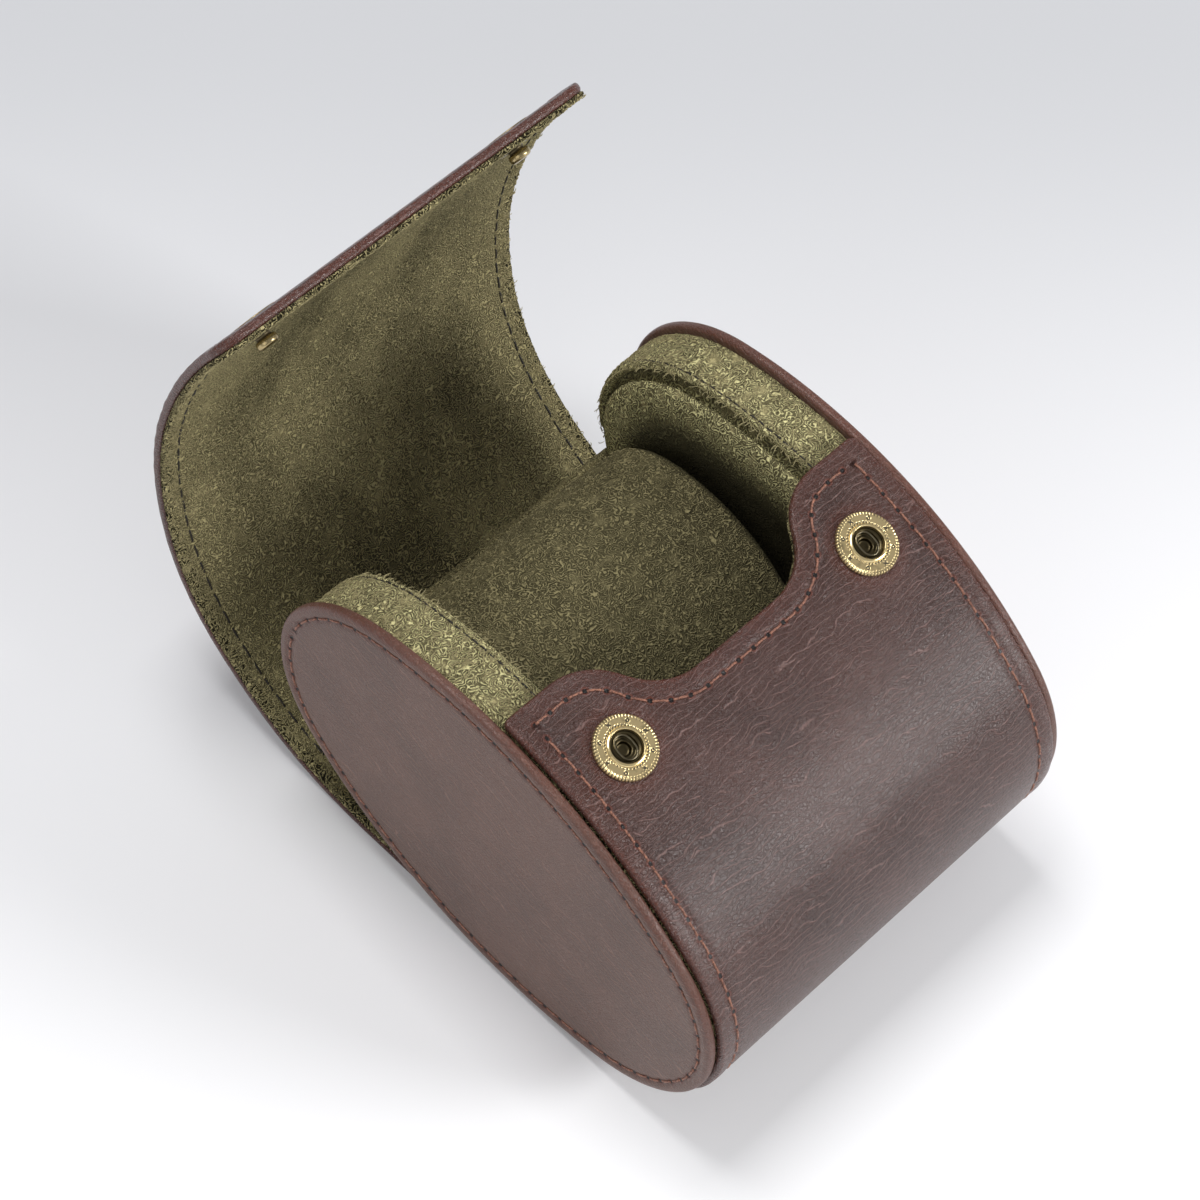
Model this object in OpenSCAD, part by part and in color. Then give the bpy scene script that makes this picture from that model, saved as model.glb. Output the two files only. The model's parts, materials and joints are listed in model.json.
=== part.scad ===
// Travel case for one watch: an oval drum of leather with padded end walls, a wrap
// round its front that goes on as a flexible flap, two snaps and a loose cushion.
// X runs along the case, the front is -Y and +Z is up. The case leans forward on
// its open flap, which lies on the ground, and the origin is on the ground under
// the middle of the whole shape.

/* [Case] */
// Length over the two leather discs
case_length = 95.5; // [88:0.5:110]
// Depth of the leather discs, front to back
case_depth = 112.4; // [108:0.4:118]
// Height of the leather discs
case_height = 72.6; // [70:0.4:78]
// Radius of the discs' front and back ends
end_radius = 29.8; // [27:0.2:32]
// Lean of the case towards its front
lean = 13.3; // [11:0.1:15]

/* [End walls] */
// Thickness of the leather discs
disc_t = 2.2; // [1.6:0.1:3]
// Width of the suede band round a wall's rim
rim_w = 9.5; // [7:0.5:12]
// Thickness of the suede bands and linings
suede_t = 1.0; // [0.6:0.1:1.4]
// Depth of a wall's inner pad
pad_depth = 4.0; // [2.5:0.5:5]
// Radius of the round edge of a wall's inner pad
pad_round = 4.5; // [3:0.5:6]

/* [Wrap] */
// Thickness of the wrap's and the flap's leather
leather_t = 1.8; // [1.4:0.1:2.2]
// How far the wrap stands proud of the discs' edge
wrap_proud = 1.0; // [0.6:0.1:1.4]
// Gap between the wrap's ends and the discs
groove = 0.25; // [0.1:0.05:0.4]
// Direction from the middle in which the wrap's front edge lies
front_edge_at = 81.3; // [76:0.1:84]
// Width of the scoop in the front edge, at its mouth
scoop_mouth = 68; // [60:1:72]
// Width of the scoop's straight bottom
scoop_floor = 20; // [12:1:26]
// Depth of the scoop
scoop_depth = 14; // [10:0.5:15]
// Thickness of the stiffening board
board_t = 1.5; // [1:0.1:2]
// Thickness of the pad that the cushion rests on
floor_pad_t = 2.6; // [1.5:0.1:3.5]
// Direction in which the board ends under the back of the case
board_end_at = 320; // [300:1:322]
// Direction in which the board ends inside the front
board_start_at = 118; // [114:1:130]

/* [Flap] */
// Straight run of the wrap on the ground, from where it leaves the discs
root_run = 18.5; // [14:0.5:20]
// Directions of the flap's bend lines when it is closed
bend_at = [-74, -42, -12, 34]; // [-80:1:50]
// Height of the bend lines over the discs' edge when it is closed
bend_lift = 0.3; // [0.2:0.1:1.2]
// Radius of each stretch of the flap at rest, or 0 for a flat stretch
stretch_r = [0, 58, 70, 46, 70]; // [0:1:120]
// Radius of the front strip that carries the studs
tip_r = 107; // [90:1:130]
// Length of the strip between its bend line and the studs
tip_reach = 26; // [22:1:30]
// Length of the strip past the studs
tip_tail = 12; // [9:0.5:14]
// Radius of the flap's corners
tip_corner = 5; // [2:0.5:9]
// Gap between two stretches at a bend line
bend_gap = 0.2; // [0.1:0.05:0.3]

/* [Snaps] */
// Distance of each snap from the end of the case
snap_inset = 16.25; // [15:0.25:20]
// Direction from the middle in which the sockets lie
socket_at = 92.6; // [90:0.1:96]
// Diameter of a socket's ring
ring_d = 12.5; // [11:0.1:13.5]
// Height of the ring's face over the leather
ring_h = 0.9; // [0.6:0.1:1.2]
// Height of the ring's inner lip over its face
lip_h = 0.3; // [0.2:0.05:0.5]
// Radius of the socket's hole
hole_r = 3.1; // [2.9:0.05:3.4]
// Radius of a stud's head
stud_r = 2.2; // [1.8:0.05:2.3]
// Height of a stud's foot on the lining
stud_foot_h = 0.5; // [0.3:0.05:0.6]
// Depth to which a stud enters its socket
stud_depth = 2.1; // [1.6:0.05:2.2]
// Running gap between flap and socket, and round a stud
snap_gap = 0.3; // [0.2:0.05:0.5]
// Diameter of the caps on the outside of the flap
cap_d = 12.5; // [10:0.1:13.5]

/* [Cushion] */
// Space between each end of the cushion and the wall's pad
cushion_side_gap = 3.05; // [1.5:0.05:6]
// Width of the cushion, front to back
cushion_width = 54; // [48:1:56]
// Height of the cushion
cushion_height = 42; // [38:1:44]
// Radius of the cushion's front and back
cushion_round = 19; // [16:0.5:20]
// Distance of the cushion's middle behind the case's middle
cushion_back = 17.2; // [15:0.1:19]
// Wall of the cushion's padded sleeve
sleeve_t = 4; // [3:0.5:6]
// Swell of the sleeve half way along
sleeve_crown = 0.6; // [0:0.1:1]
// Gap between the cushion and the pad under it
cushion_gap = 0.3; // [0.2:0.05:0.5]

/* [Hidden] */
STRETCHES = len(stretch_r);
$fn = 96;
FINE = 240;             // sides of a circle that is a large oval's arc
leather = "#5a3c34";
leather_flat = "#69554f";
suede = "#78764b";
brass = "#a08a55";
board = "#b09a78";
seat_gap = 0.05;        // between layers that are sewn or glued together
barrel_t = 0.45;        // wall of the ring's barrel through the wrap
post_r = 1.2;           // radius of a stud's post through the flap
cap_h = 1.3;            // height of a cap over the leather
lip_w = 0.6;            // flat width of the ring's inner lip
rim_w_ring = 0.5;       // width of the ring's outer slope
bevel = 0.15;           // small bevels on the snaps' edges
cup_t = 0.3;            // wall of a socket's cup
washer_t = 0.4;         // thickness of the washer behind a socket
washer_w = 0.85;        // width of the washer round the ring's barrel
washer_drop = 0.25;     // the washer lies flat under the curved lining
wire_r = 0.2;           // radius of a socket's spring wire
wire_depth = 0.15;      // the wire's depth under the leather's face
foot_w = 1.1;           // how far a stud's foot reaches past its head
foot_lift = 0.08;       // the foot lies flat over the curved lining
head_h = 1.2;           // height of a stud's head
neck_cut = 0.7;         // how much narrower a stud's neck is
pad_edge_gap = 0.75;    // between the lining and a wall's pad
pad_ramp = 9;           // degrees over which a wall's pad steps in over the board

// ---- Ovals: two round ends and two flatter arcs, drawn in the Y-Z plane ----

half_depth = case_depth / 2;
half_height = case_height / 2;

// Radius of the flatter arcs of an oval of half width a, half height b and end radius r
function flat_radius(a, b, r) = ((a - r) * (a - r) + b * b - r * r) / (2 * (b - r));
// Direction in which the end arc hands over to the flatter arc
function hand_over(a, b, r) = atan2(flat_radius(a, b, r) - b, a - r);
function signed_angle(t) = t - 360 * round(t / 360);
function heading(t) = [cos(t), sin(t)];

// Centre and radius of the arc that an oval has in the direction t
function arc_of(t, a, b, r) =
    let (s = signed_angle(t), j = hand_over(a, b, r), big = flat_radius(a, b, r))
    abs(s) <= j ? [[a - r, 0], r]
    : abs(s) >= 180 - j ? [[r - a, 0], r]
    : s > 0 ? [[0, b - big], big] : [[0, big - b], big];
// Point of an oval, offset outwards, where its normal has the direction t
function oval_point(t, off = 0, a = half_depth, b = half_height, r = end_radius) =
    let (arc = arc_of(t, a, b, r)) arc[0] + (arc[1] + off) * heading(t);

module oval(off = 0, a = half_depth, b = half_height, r = end_radius) {
    big = flat_radius(a, b, r);
    meet = a - r + (r + off) * cos(hand_over(a, b, r));
    for (side = [-1, 1]) translate([side * (a - r), 0]) circle(r + off, $fn = FINE);
    intersection() {
        translate([0, b - big]) circle(big + off, $fn = 2 * FINE);
        translate([0, big - b]) circle(big + off, $fn = 2 * FINE);
        square([2 * meet, 4 * b], center = true);
    }
}

// The part of the plane seen between two directions from near an oval's line
module between(from, to, reach = 10) {
    steps = ceil((to - from) / 8);
    ways = [for (i = [0:steps]) from + (to - from) * i / steps];
    polygon(concat([for (t = ways) oval_point(t, reach)],
                   [for (i = [steps:-1:0]) oval_point(ways[i], -reach)]));
}

module oval_band(from, to, inner, outer) {
    intersection() {
        difference() {
            oval(outer);
            oval(inner);
        }
        between(from, to);
    }
}

// ---- Places ----

disc_inside = case_length / 2 - disc_t;
snap_x = case_length / 2 - snap_inset;
wrap_half = disc_inside - groove;
wall_inside = disc_inside - rim_w;
pad_inside = wall_inside - pad_depth;
wrap_t = leather_t + suede_t;
wrap_in = wrap_proud - wrap_t;
board_out = wrap_in - seat_gap;
board_in = board_out - board_t;
pad_in = board_in - floor_pad_t;
root_at = 270 - lean;

// Draws a Y-Z outline along X from one place to another
module along(from, to) {
    translate([from, 0, 0]) rotate([90, 0, 90]) linear_extrude(to - from) children();
}

// Puts children on the side whose sign is given
module on_side(side) {
    if (side > 0) children(); else mirror([1, 0, 0]) children();
}

// ---- Flap: bend lines when closed, then the smooth open line through them ----

root_start = oval_point(root_at, wrap_in);
root_end = root_start + root_run * heading(-lean);
socket_top = wrap_proud + ring_h + lip_h;
seat_off = socket_top + stud_foot_h + snap_gap;
stud_seat = oval_point(socket_at, seat_off);
tip_span = tip_reach / tip_r * 180 / PI;
seated_way = socket_at + 90 - tip_span;
tip_line = stud_seat + tip_r * (heading(socket_at + 180) - heading(socket_at + 180 - tip_span));
closed_line = concat([root_end], [for (t = bend_at) oval_point(t, bend_lift)], [tip_line]);
steps_closed = [for (k = [0:STRETCHES - 1]) closed_line[k + 1] - closed_line[k]];
chord = [for (s = steps_closed) norm(s)];
chord_way = [for (s = steps_closed) atan2(s[1], s[0])];
span = [for (k = [0:STRETCHES - 1])
    stretch_r[k] == 0 ? 0 : 2 * asin(chord[k] / 2 / stretch_r[k])];
// Turn of each stretch about its bend line, from open to closed
closing = [for (k = [0:STRETCHES - 1]) signed_angle(
    chord_way[k] - span[k] / 2 - (k == 0 ? -lean : chord_way[k - 1] + span[k - 1] / 2))];
press = signed_angle(seated_way - chord_way[STRETCHES - 1] - span[STRETCHES - 1] / 2);
function open_way(k) = k == 0 ? -lean : open_way(k - 1) + span[k - 1];
function open_line(k) = k == 0 ? root_end
    : open_line(k - 1) + chord[k - 1] * heading(open_way(k - 1) + span[k - 1] / 2);
stud_way = open_way(STRETCHES) + tip_span;
stud_base = open_line(STRETCHES)
    + tip_r * (heading(stud_way - 90) - heading(open_way(STRETCHES) - 90));

// Part of a ring or a flat strip, drawn from the origin along +Y and curving upwards;
// depth is measured downwards from the drawn line
module strip_outline(r, length, top, bottom) {
    if (r == 0) translate([bend_gap / 2, -bottom]) square([length - bend_gap, bottom - top]);
    else {
        turn = length / r * 180 / PI;
        trim = bend_gap / 2 / r * 180 / PI;
        far = 1.3 * (r + bottom);
        translate([0, r]) intersection() {
            difference() {
                circle(r + bottom, $fn = 2 * FINE);
                circle(r + top, $fn = 2 * FINE);
            }
            polygon([[0, 0], far * heading(trim - 90), far * heading(turn / 2 - 90),
                     far * heading(turn - trim - 90)]);
        }
    }
}

module stretch(k, top, bottom) {
    length = stretch_r[k] == 0 ? chord[k] : span[k] * PI / 180 * stretch_r[k];
    along(-wrap_half, wrap_half) translate(open_line(k)) rotate(open_way(k))
        strip_outline(stretch_r[k], length, top, bottom);
}

// Puts children at a stud: +Z points away from the leather, into the case
module at_stud(side) {
    translate([side * snap_x, stud_base[0], stud_base[1]])
        rotate([stud_way, 0, 0]) children();
}

module at_socket(side) {
    seat = oval_point(socket_at, wrap_proud);
    translate([side * snap_x, seat[0], seat[1]]) rotate([socket_at - 90, 0, 0]) children();
}

// Cuts the free edge's two corners to their radius
module corner_cuts() {
    end_span = tip_tail / tip_r * 180 / PI;
    end_point = stud_base + tip_r * (heading(stud_way + end_span - 90) - heading(stud_way - 90));
    for (side = [-1, 1])
        translate([0, end_point[0], end_point[1]]) rotate([stud_way + end_span, 0, 0])
            on_side(side) translate([wrap_half - tip_corner, -tip_corner, -2 * wrap_t])
                linear_extrude(4 * wrap_t) difference() {
                    square(2 * tip_corner);
                    circle(tip_corner);
                }
}

module tip_strip(top, bottom) {
    difference() {
        along(-wrap_half, wrap_half) translate(open_line(STRETCHES)) rotate(open_way(STRETCHES))
            strip_outline(tip_r, tip_reach + tip_tail, top, bottom);
        corner_cuts();
        for (side = [-1, 1]) at_stud(side)
            cylinder(r = post_r + seat_gap, h = 4 * wrap_t, center = true);
    }
}

// ---- Standing: leaning forward, with the lowest points on the ground ----

function leant(p) = [p[0] * cos(lean) - p[1] * sin(lean), p[0] * sin(lean) + p[1] * cos(lean)];
flap_outside = [for (k = [0:STRETCHES - 1]) for (i = [0:6])
    let (way = open_way(k) + span[k] * i / 6, r = stretch_r[k])
    r == 0 ? open_line(k) + wrap_t * heading(way - 90)
    : open_line(k) + r * heading(open_way(k) + 90) + (r + wrap_t) * heading(way - 90)];
low_z = leant(root_start + wrap_t * heading(-lean - 90))[1];
disc_front = -(half_depth - end_radius) * cos(lean) - end_radius - wrap_proud;
tail_span = tip_span * (1 + tip_tail / tip_reach);
stud_tail = [for (i = [0:4]) let (way = open_way(STRETCHES) + tail_span * i / 4)
    open_line(STRETCHES) + tip_r * heading(open_way(STRETCHES) + 90)
        + (tip_r + wrap_t) * heading(way - 90)];
far_back = max([for (p = concat(flap_outside, stud_tail)) leant(p)[0]]);
cap_back = max([for (s = [-1, 1]) leant(stud_base + (wrap_t + cap_h) * heading(stud_way - 90)
    + s * cap_d / 2 * heading(stud_way))[0]]);
shift_y = -(disc_front + max(far_back, cap_back)) / 2;

module stand() {
    translate([0, shift_y, -low_z]) rotate([lean, 0, 0]) children();
}

// Prints a place of the case's own Y-Z plane in the standing frame, in metres
function stood(p) = [0, leant(p)[0] + shift_y, leant(p)[1] - low_z] / 1000;
for (k = [0:STRETCHES]) echo(str("bend line ", k + 1), stood(open_line(k)),
    k < STRETCHES ? closing[k] : press);
echo("sum of closing", closing * [for (c = closing) 1]);
echo("stud", stood(stud_base), "way", stud_way + lean);
echo("disc centre", stood([0, 0]));
echo("lift of the stud", tip_reach * sin(press), "needed", stud_depth + snap_gap);

// ---- End walls ----

module end_leather(side) {
    color(leather_flat) stand() on_side(side)
        along(disc_inside, case_length / 2) oval();
}

module end_board(side) {
    color(board) stand() on_side(side)
        along(wall_inside, disc_inside) oval(wrap_in - suede_t - 2 * seat_gap);
}

module rim_band(side) {
    color(suede) stand() on_side(side) along(wall_inside, disc_inside) difference() {
        oval(wrap_in - seat_gap);
        oval(wrap_in - suede_t - seat_gap);
    }
}

// How far a wall's pad keeps inside the disc's edge: more where the board runs below it
function eased(u) = let (c = min(1, max(0, u))) c * c * (3 - 2 * c);
function pad_inset(t) =
    let (s = t < -90 ? t + 360 : t,
         into = eased((s - board_start_at) / pad_ramp + 1),
         out = s < 0 ? eased((board_end_at - 360 - s) / pad_ramp + 1) : 1)
    pad_edge_gap - wrap_in + (board_out - pad_in + cushion_gap) * into * out;
PAD_SIDES = 72;
pad_ways = [for (i = [0:PAD_SIDES - 1]) 360 * i / PAD_SIDES];
function bare_ring(x, extra) = [for (t = pad_ways)
    let (s = t > board_end_at ? t - 360 : t, p = oval_point(t, -pad_inset(s) - extra)) [x, p[0], p[1]]];

// A closed skin over rings of equal counts, listed from one end to the other
module skinned(rings) {
    n = len(rings[0]);
    m = len(rings);
    points = [for (ring = rings) each ring];
    sides = [for (j = [0:m - 2]) for (i = [0:n - 1]) let (a = j * n + i, b = j * n + (i + 1) % n)
        each [[a, b, b + n], [a, b + n, a + n]]];
    first = [for (i = [1:n - 2]) [0, i + 1, i]];
    last = [for (i = [1:n - 2]) [(m - 1) * n, (m - 1) * n + i, (m - 1) * n + i + 1]];
    polyhedron(points, concat(sides, first, last), convexity = 6);
}

module wall_pad(side) {
    depths = [0, 0.3, 0.62, 0.85, 1];
    color(suede) stand() on_side(side) skinned([for (i = [len(depths) - 1:-1:0])
        let (d = depths[i], sink = pad_round * (1 - sqrt(1 - pow(d, 3))))
        bare_ring(wall_inside - pad_depth * d, sink)]);
}

// ---- Wrap ----

// Outline, seen from above, of what the scoop takes from the front edge: a straight
// bottom, and at each end an arc inwards and an arc outwards that meet half way up.
// The outer arcs are a hair smaller, so that each pair crosses its meeting line apart.
module scoop_outline() {
    edge = oval_point(front_edge_at)[0];
    wide = (scoop_mouth - scoop_floor) / 2;
    turn = 2 * atan(scoop_depth / wide);
    r = wide / 2 / sin(turn);
    low = edge - scoop_depth;
    translate([-scoop_floor / 2, low]) square([scoop_floor, scoop_depth + r]);
    translate([-scoop_floor / 2, low + r]) circle(r);
    translate([scoop_floor / 2, low + r]) circle(r);
    difference() {
        translate([-scoop_mouth / 2, edge - scoop_depth / 2])
            square([scoop_mouth, scoop_depth / 2 + r]);
        translate([-scoop_mouth / 2, edge - r]) circle(r - seat_gap);
        translate([scoop_mouth / 2, edge - r]) circle(r - seat_gap);
    }
}

module wrap_layer(inner, outer) {
    difference() {
        along(-wrap_half, wrap_half) {
            oval_band(front_edge_at, root_at, inner, outer);
            translate(root_start) rotate(-lean) translate([-seat_gap, -(outer - wrap_in)])
                square([root_run - bend_gap / 2 + seat_gap, outer - inner]);
        }
        linear_extrude(2 * case_height) scoop_outline();
        for (side = [-1, 1]) at_socket(side)
            cylinder(r = hole_r + barrel_t + seat_gap, h = 4 * wrap_t, center = true);
    }
}

module body_leather() {
    color(leather) stand() wrap_layer(wrap_in + suede_t, wrap_proud);
}

module body_lining() {
    color(suede) stand() wrap_layer(wrap_in, wrap_in + suede_t);
}

module body_board() {
    color(board) stand() along(-wall_inside, wall_inside)
        oval_band(board_start_at, board_end_at, board_in, board_out);
}

module floor_pad() {
    color(suede) stand() along(-wall_inside, wall_inside)
        oval_band(board_start_at, board_end_at, pad_in, board_in);
}

// ---- Flap's pieces ----

module flap_leather(k) {
    color(leather) stand() stretch(k, suede_t, wrap_t);
}

module flap_lining(k) {
    color(suede) stand() stretch(k, 0, suede_t);
}

module tip_leather() {
    color(leather) stand() tip_strip(suede_t, wrap_t);
}

module tip_lining() {
    color(suede) stand() tip_strip(0, suede_t);
}

// ---- Snaps ----

module socket_ring(side) {
    rim = ring_d / 2;
    top = ring_h + lip_h;
    low = -wrap_t - washer_drop - washer_t;
    color(brass) stand() at_socket(side) rotate_extrude() polygon([
        [hole_r, low], [hole_r, top - bevel], [hole_r + bevel, top], [hole_r + lip_w, top],
        [hole_r + lip_w + lip_h, ring_h], [rim - 2 * rim_w_ring, ring_h],
        [rim - rim_w_ring, ring_h - bevel], [rim, ring_h / 2], [rim, seat_gap],
        [hole_r + barrel_t, seat_gap], [hole_r + barrel_t, low]]);
}

module socket_cup(side) {
    outer = hole_r - seat_gap;
    low = ring_h + lip_h - stud_depth - snap_gap - cup_t;
    color(brass) stand() at_socket(side) rotate_extrude() polygon([
        [0, low], [outer, low], [outer, bevel], [outer - cup_t, bevel],
        [outer - cup_t, low + cup_t], [0, low + cup_t]]);
}

module socket_spring(side) {
    color("silver") stand() at_socket(side) translate([0, 0, -wire_depth])
        rotate_extrude() translate([hole_r - cup_t - wire_r - 2 * seat_gap, 0]) circle(wire_r, $fn = 24);
}

module socket_washer(side) {
    inner = hole_r + barrel_t + seat_gap;
    color(brass) stand() at_socket(side) translate([0, 0, -wrap_t - washer_drop - washer_t])
        rotate_extrude() translate([inner, 0]) square([washer_w, washer_t]);
}

module stud(side) {
    height = stud_foot_h + snap_gap + stud_depth;
    under = height - head_h;
    foot_r = stud_r + foot_w;
    neck_r = stud_r - neck_cut;
    tail = -wrap_t - cap_h / 2;
    color(brass) stand() at_stud(side) rotate_extrude() polygon([
        [0, tail], [post_r, tail], [post_r, foot_lift], [foot_r, foot_lift],
        [foot_r, stud_foot_h - bevel], [foot_r - bevel, stud_foot_h], [neck_r, stud_foot_h],
        [neck_r, under], [stud_r - bevel, under + 2 * bevel], [stud_r, under + 3 * bevel],
        [stud_r, height - 3 * bevel], [stud_r - 2 * bevel, height - bevel],
        [stud_r - 5 * bevel, height], [0, height]]);
}

module cap(side) {
    rim = cap_d / 2;
    seat = -cap_h / 2 - seat_gap;
    color(brass) stand() at_stud(side) translate([0, 0, -wrap_t - seat_gap]) rotate_extrude() polygon([
        [post_r + seat_gap, 0], [rim, 0], [rim, -0.3 * cap_h], [0.92 * rim, -0.62 * cap_h],
        [0.68 * rim, -0.88 * cap_h], [0.36 * rim, -cap_h], [0, -cap_h],
        [0, seat], [post_r + seat_gap, seat]]);
}

// ---- Cushion ----

cushion_a = cushion_width / 2;
cushion_b = cushion_height / 2;
// The floor pad's top under the cushion, and the cushion's lowest arc on it
pad_arc = arc_of(270, half_depth, half_height, end_radius);
cushion_arc = arc_of(270, cushion_a, cushion_b, cushion_round);
cushion_z = pad_arc[0][1] - cushion_arc[0][1]
    - sqrt(pow(pad_arc[1] + pad_in - cushion_arc[1] - cushion_gap, 2) - pow(cushion_back, 2));

module at_cushion() {
    translate([0, cushion_back, cushion_z]) children();
}

module cushion_oval(off = 0) {
    oval(off, cushion_a, cushion_b, cushion_round);
}

CUSHION_SIDES = 64;
function cushion_ring(x, off) = [for (i = [0:CUSHION_SIDES - 1])
    let (p = oval_point(360 * i / CUSHION_SIDES, off, cushion_a, cushion_b, cushion_round)) [x, p[0], p[1]]];
cushion_half = pad_inside - cushion_side_gap;
cushion_hole = -sleeve_t - sleeve_crown;
sleeve_round = 0.85 * sleeve_t;

// One ring of the sleeve's round edge, from its flat end (90) to its side (0)
function edge_ring(side, t) = cushion_ring(side * (cushion_half - sleeve_round * (1 - sin(t))),
                                           -sleeve_crown - sleeve_round * (1 - cos(t)));

module sleeve_body() {
    swell = [for (i = [3:-1:-3]) let (u = i / 4)
        cushion_ring(u * (cushion_half - sleeve_round), -sleeve_crown * u * u)];
    mirror([1, 0, 0]) skinned(concat([for (t = [90, 65, 40, 20, 0]) edge_ring(1, t)], swell,
                                     [for (t = [0, 20, 40, 65, 90]) edge_ring(-1, t)]));
}

module cushion_sleeve() {
    color(suede) stand() at_cushion() difference() {
        sleeve_body();
        along(-2 * cushion_half, 2 * cushion_half) cushion_oval(cushion_hole);
    }
}

module cushion_core() {
    reach = cushion_half - suede_t - seat_gap;
    color("ivory") stand() at_cushion() along(-reach, reach) cushion_oval(cushion_hole - seat_gap);
}

module cushion_end(side) {
    color(suede) stand() at_cushion() on_side(side) along(cushion_half - suede_t, cushion_half)
        cushion_oval(cushion_hole - seat_gap);
}

// ---- Nodes ----

end_leather(-1);  // left_end_leather
end_leather(1);  // right_end_leather
end_board(-1);  // left_end_board
end_board(1);  // right_end_board
rim_band(-1);  // left_rim_band
rim_band(1);  // right_rim_band
wall_pad(-1);  // left_wall_pad
wall_pad(1);  // right_wall_pad
body_leather();
body_lining();
body_board();
floor_pad();
socket_ring(-1);  // left_socket_ring
socket_ring(1);  // right_socket_ring
socket_cup(-1);  // left_socket_cup
socket_cup(1);  // right_socket_cup
socket_spring(-1);  // left_socket_spring
socket_spring(1);  // right_socket_spring
socket_washer(-1);  // left_socket_washer
socket_washer(1);  // right_socket_washer
flap_leather(0);  // flap_1_leather
flap_lining(0);  // flap_1_lining
flap_leather(1);  // flap_2_leather
flap_lining(1);  // flap_2_lining
flap_leather(2);  // flap_3_leather
flap_lining(2);  // flap_3_lining
flap_leather(3);  // flap_4_leather
flap_lining(3);  // flap_4_lining
flap_leather(4);  // flap_5_leather
flap_lining(4);  // flap_5_lining
tip_leather();
tip_lining();
stud(-1);  // left_stud
stud(1);  // right_stud
cap(-1);  // left_cap
cap(1);  // right_cap
cushion_core();
cushion_sleeve();
cushion_end(-1);  // cushion_left_end
cushion_end(1);  // cushion_right_end
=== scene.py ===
"""Dresses the travel case for one watch: leather, suede, stitches, snaps, a cushion and a stage."""

import json
import math

import bmesh
import bpy
import numpy as np
from bpy.props import FloatProperty, FloatVectorProperty, PointerProperty
from bpy.types import Operator, Panel, PropertyGroup
from mathutils import Matrix, Vector


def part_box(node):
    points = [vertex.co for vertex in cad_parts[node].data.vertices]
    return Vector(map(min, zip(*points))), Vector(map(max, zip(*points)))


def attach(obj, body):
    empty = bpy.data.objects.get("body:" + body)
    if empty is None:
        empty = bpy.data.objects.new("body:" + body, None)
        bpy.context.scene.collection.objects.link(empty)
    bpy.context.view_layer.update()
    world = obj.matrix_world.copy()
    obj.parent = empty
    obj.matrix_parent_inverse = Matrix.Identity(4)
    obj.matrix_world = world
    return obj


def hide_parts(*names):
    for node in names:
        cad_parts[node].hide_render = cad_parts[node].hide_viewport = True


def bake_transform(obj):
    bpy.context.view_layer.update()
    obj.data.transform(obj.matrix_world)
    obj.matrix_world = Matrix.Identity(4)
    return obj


bl_info = {
    "name": "Watch travel case",
    "version": (1, 0, 0),
    "blender": (4, 5, 0),
    "location": "3D View > Sidebar > Travel case",
    "description": "Makes the leather, suede, stitching and snaps of a travel case for one watch",
    "category": "Object",
}

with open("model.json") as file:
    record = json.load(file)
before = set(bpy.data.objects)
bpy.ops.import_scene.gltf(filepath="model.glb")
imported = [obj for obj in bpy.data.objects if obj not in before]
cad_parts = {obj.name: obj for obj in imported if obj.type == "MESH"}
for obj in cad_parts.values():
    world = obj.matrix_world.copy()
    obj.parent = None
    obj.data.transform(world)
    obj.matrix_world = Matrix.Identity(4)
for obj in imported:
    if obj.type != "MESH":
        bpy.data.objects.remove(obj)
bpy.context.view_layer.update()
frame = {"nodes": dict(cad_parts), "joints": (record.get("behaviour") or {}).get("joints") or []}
MM = 0.001

# ---- The case's own frame: millimetres, X along the case, front -Y, up +Z, before it leans ----

LEAN = math.radians(13.3)
DISC_LOW, DISC_HIGH = (np.array(c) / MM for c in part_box("left_end_leather"))
CENTRE = (DISC_LOW + DISC_HIGH)[1:] / 2
HALF_LENGTH = -DISC_LOW[0]
DISC_IN = -DISC_HIGH[0]
OVAL = (56.2, 36.3, 29.8)
WRAP_IN, SUEDE_T, WRAP_T = -1.8, 1.0, 2.8
WRAP_HALF = DISC_IN - 0.25
FRONT_EDGE, ROOT_AT, ROOT_RUN = 81.3, 270 - 13.3, 18.5
WALL_IN = DISC_IN - 9.5
STRETCH_R = (0, 58, 70, 46, 70)
TIP_R, TIP_REACH, TIP_TAIL = 107, 26, 12
SNAP_X = HALF_LENGTH - 16.25
SOCKET_AT = 92.6


def heading(way):
    """Unit vectors in the Y-Z plane in the directions way, in degrees."""
    way = np.radians(way)
    return np.stack([np.cos(way), np.sin(way)], -1)


def flat_radius(oval):
    """Radius of the flatter arcs: where a circle through the oval's top touches its end circles."""
    a, b, r = oval
    return ((a - r) ** 2 + b * b - r * r) / (2 * (b - r))


def hand_over(oval):
    """Direction, in degrees, in which the end arc hands over to the flatter arc."""
    a, b, r = oval
    return math.degrees(math.atan2(flat_radius(oval) - b, a - r))


def oval_at(t, off=0.0, oval=OVAL):
    """Points (y, z) of an oval of four arcs where its normal has the directions t, moved outwards by off:
    the arc's centre plus its radius and off along the normal."""
    a, b, r = oval
    big, j = flat_radius(oval), hand_over(oval)
    s = (np.asarray(t, float) + 180) % 360 - 180
    back, front = np.abs(s) <= j, np.abs(s) >= 180 - j
    cy = np.where(back, a - r, np.where(front, r - a, 0))
    cz = np.where(back | front, 0, np.where(s > 0, b - big, big - b))
    radius = np.where(back | front, r, big)
    return np.stack([cy, cz], -1) + (radius + off)[..., None] * heading(s)


def lengths(path):
    """Length along a path of points at each of them."""
    return np.r_[0, np.cumsum(np.linalg.norm(np.diff(path, axis=0), axis=1))]


def unit(vectors):
    """Vectors of length 1 in the directions given."""
    return vectors / np.linalg.norm(vectors, axis=-1, keepdims=True)


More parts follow.
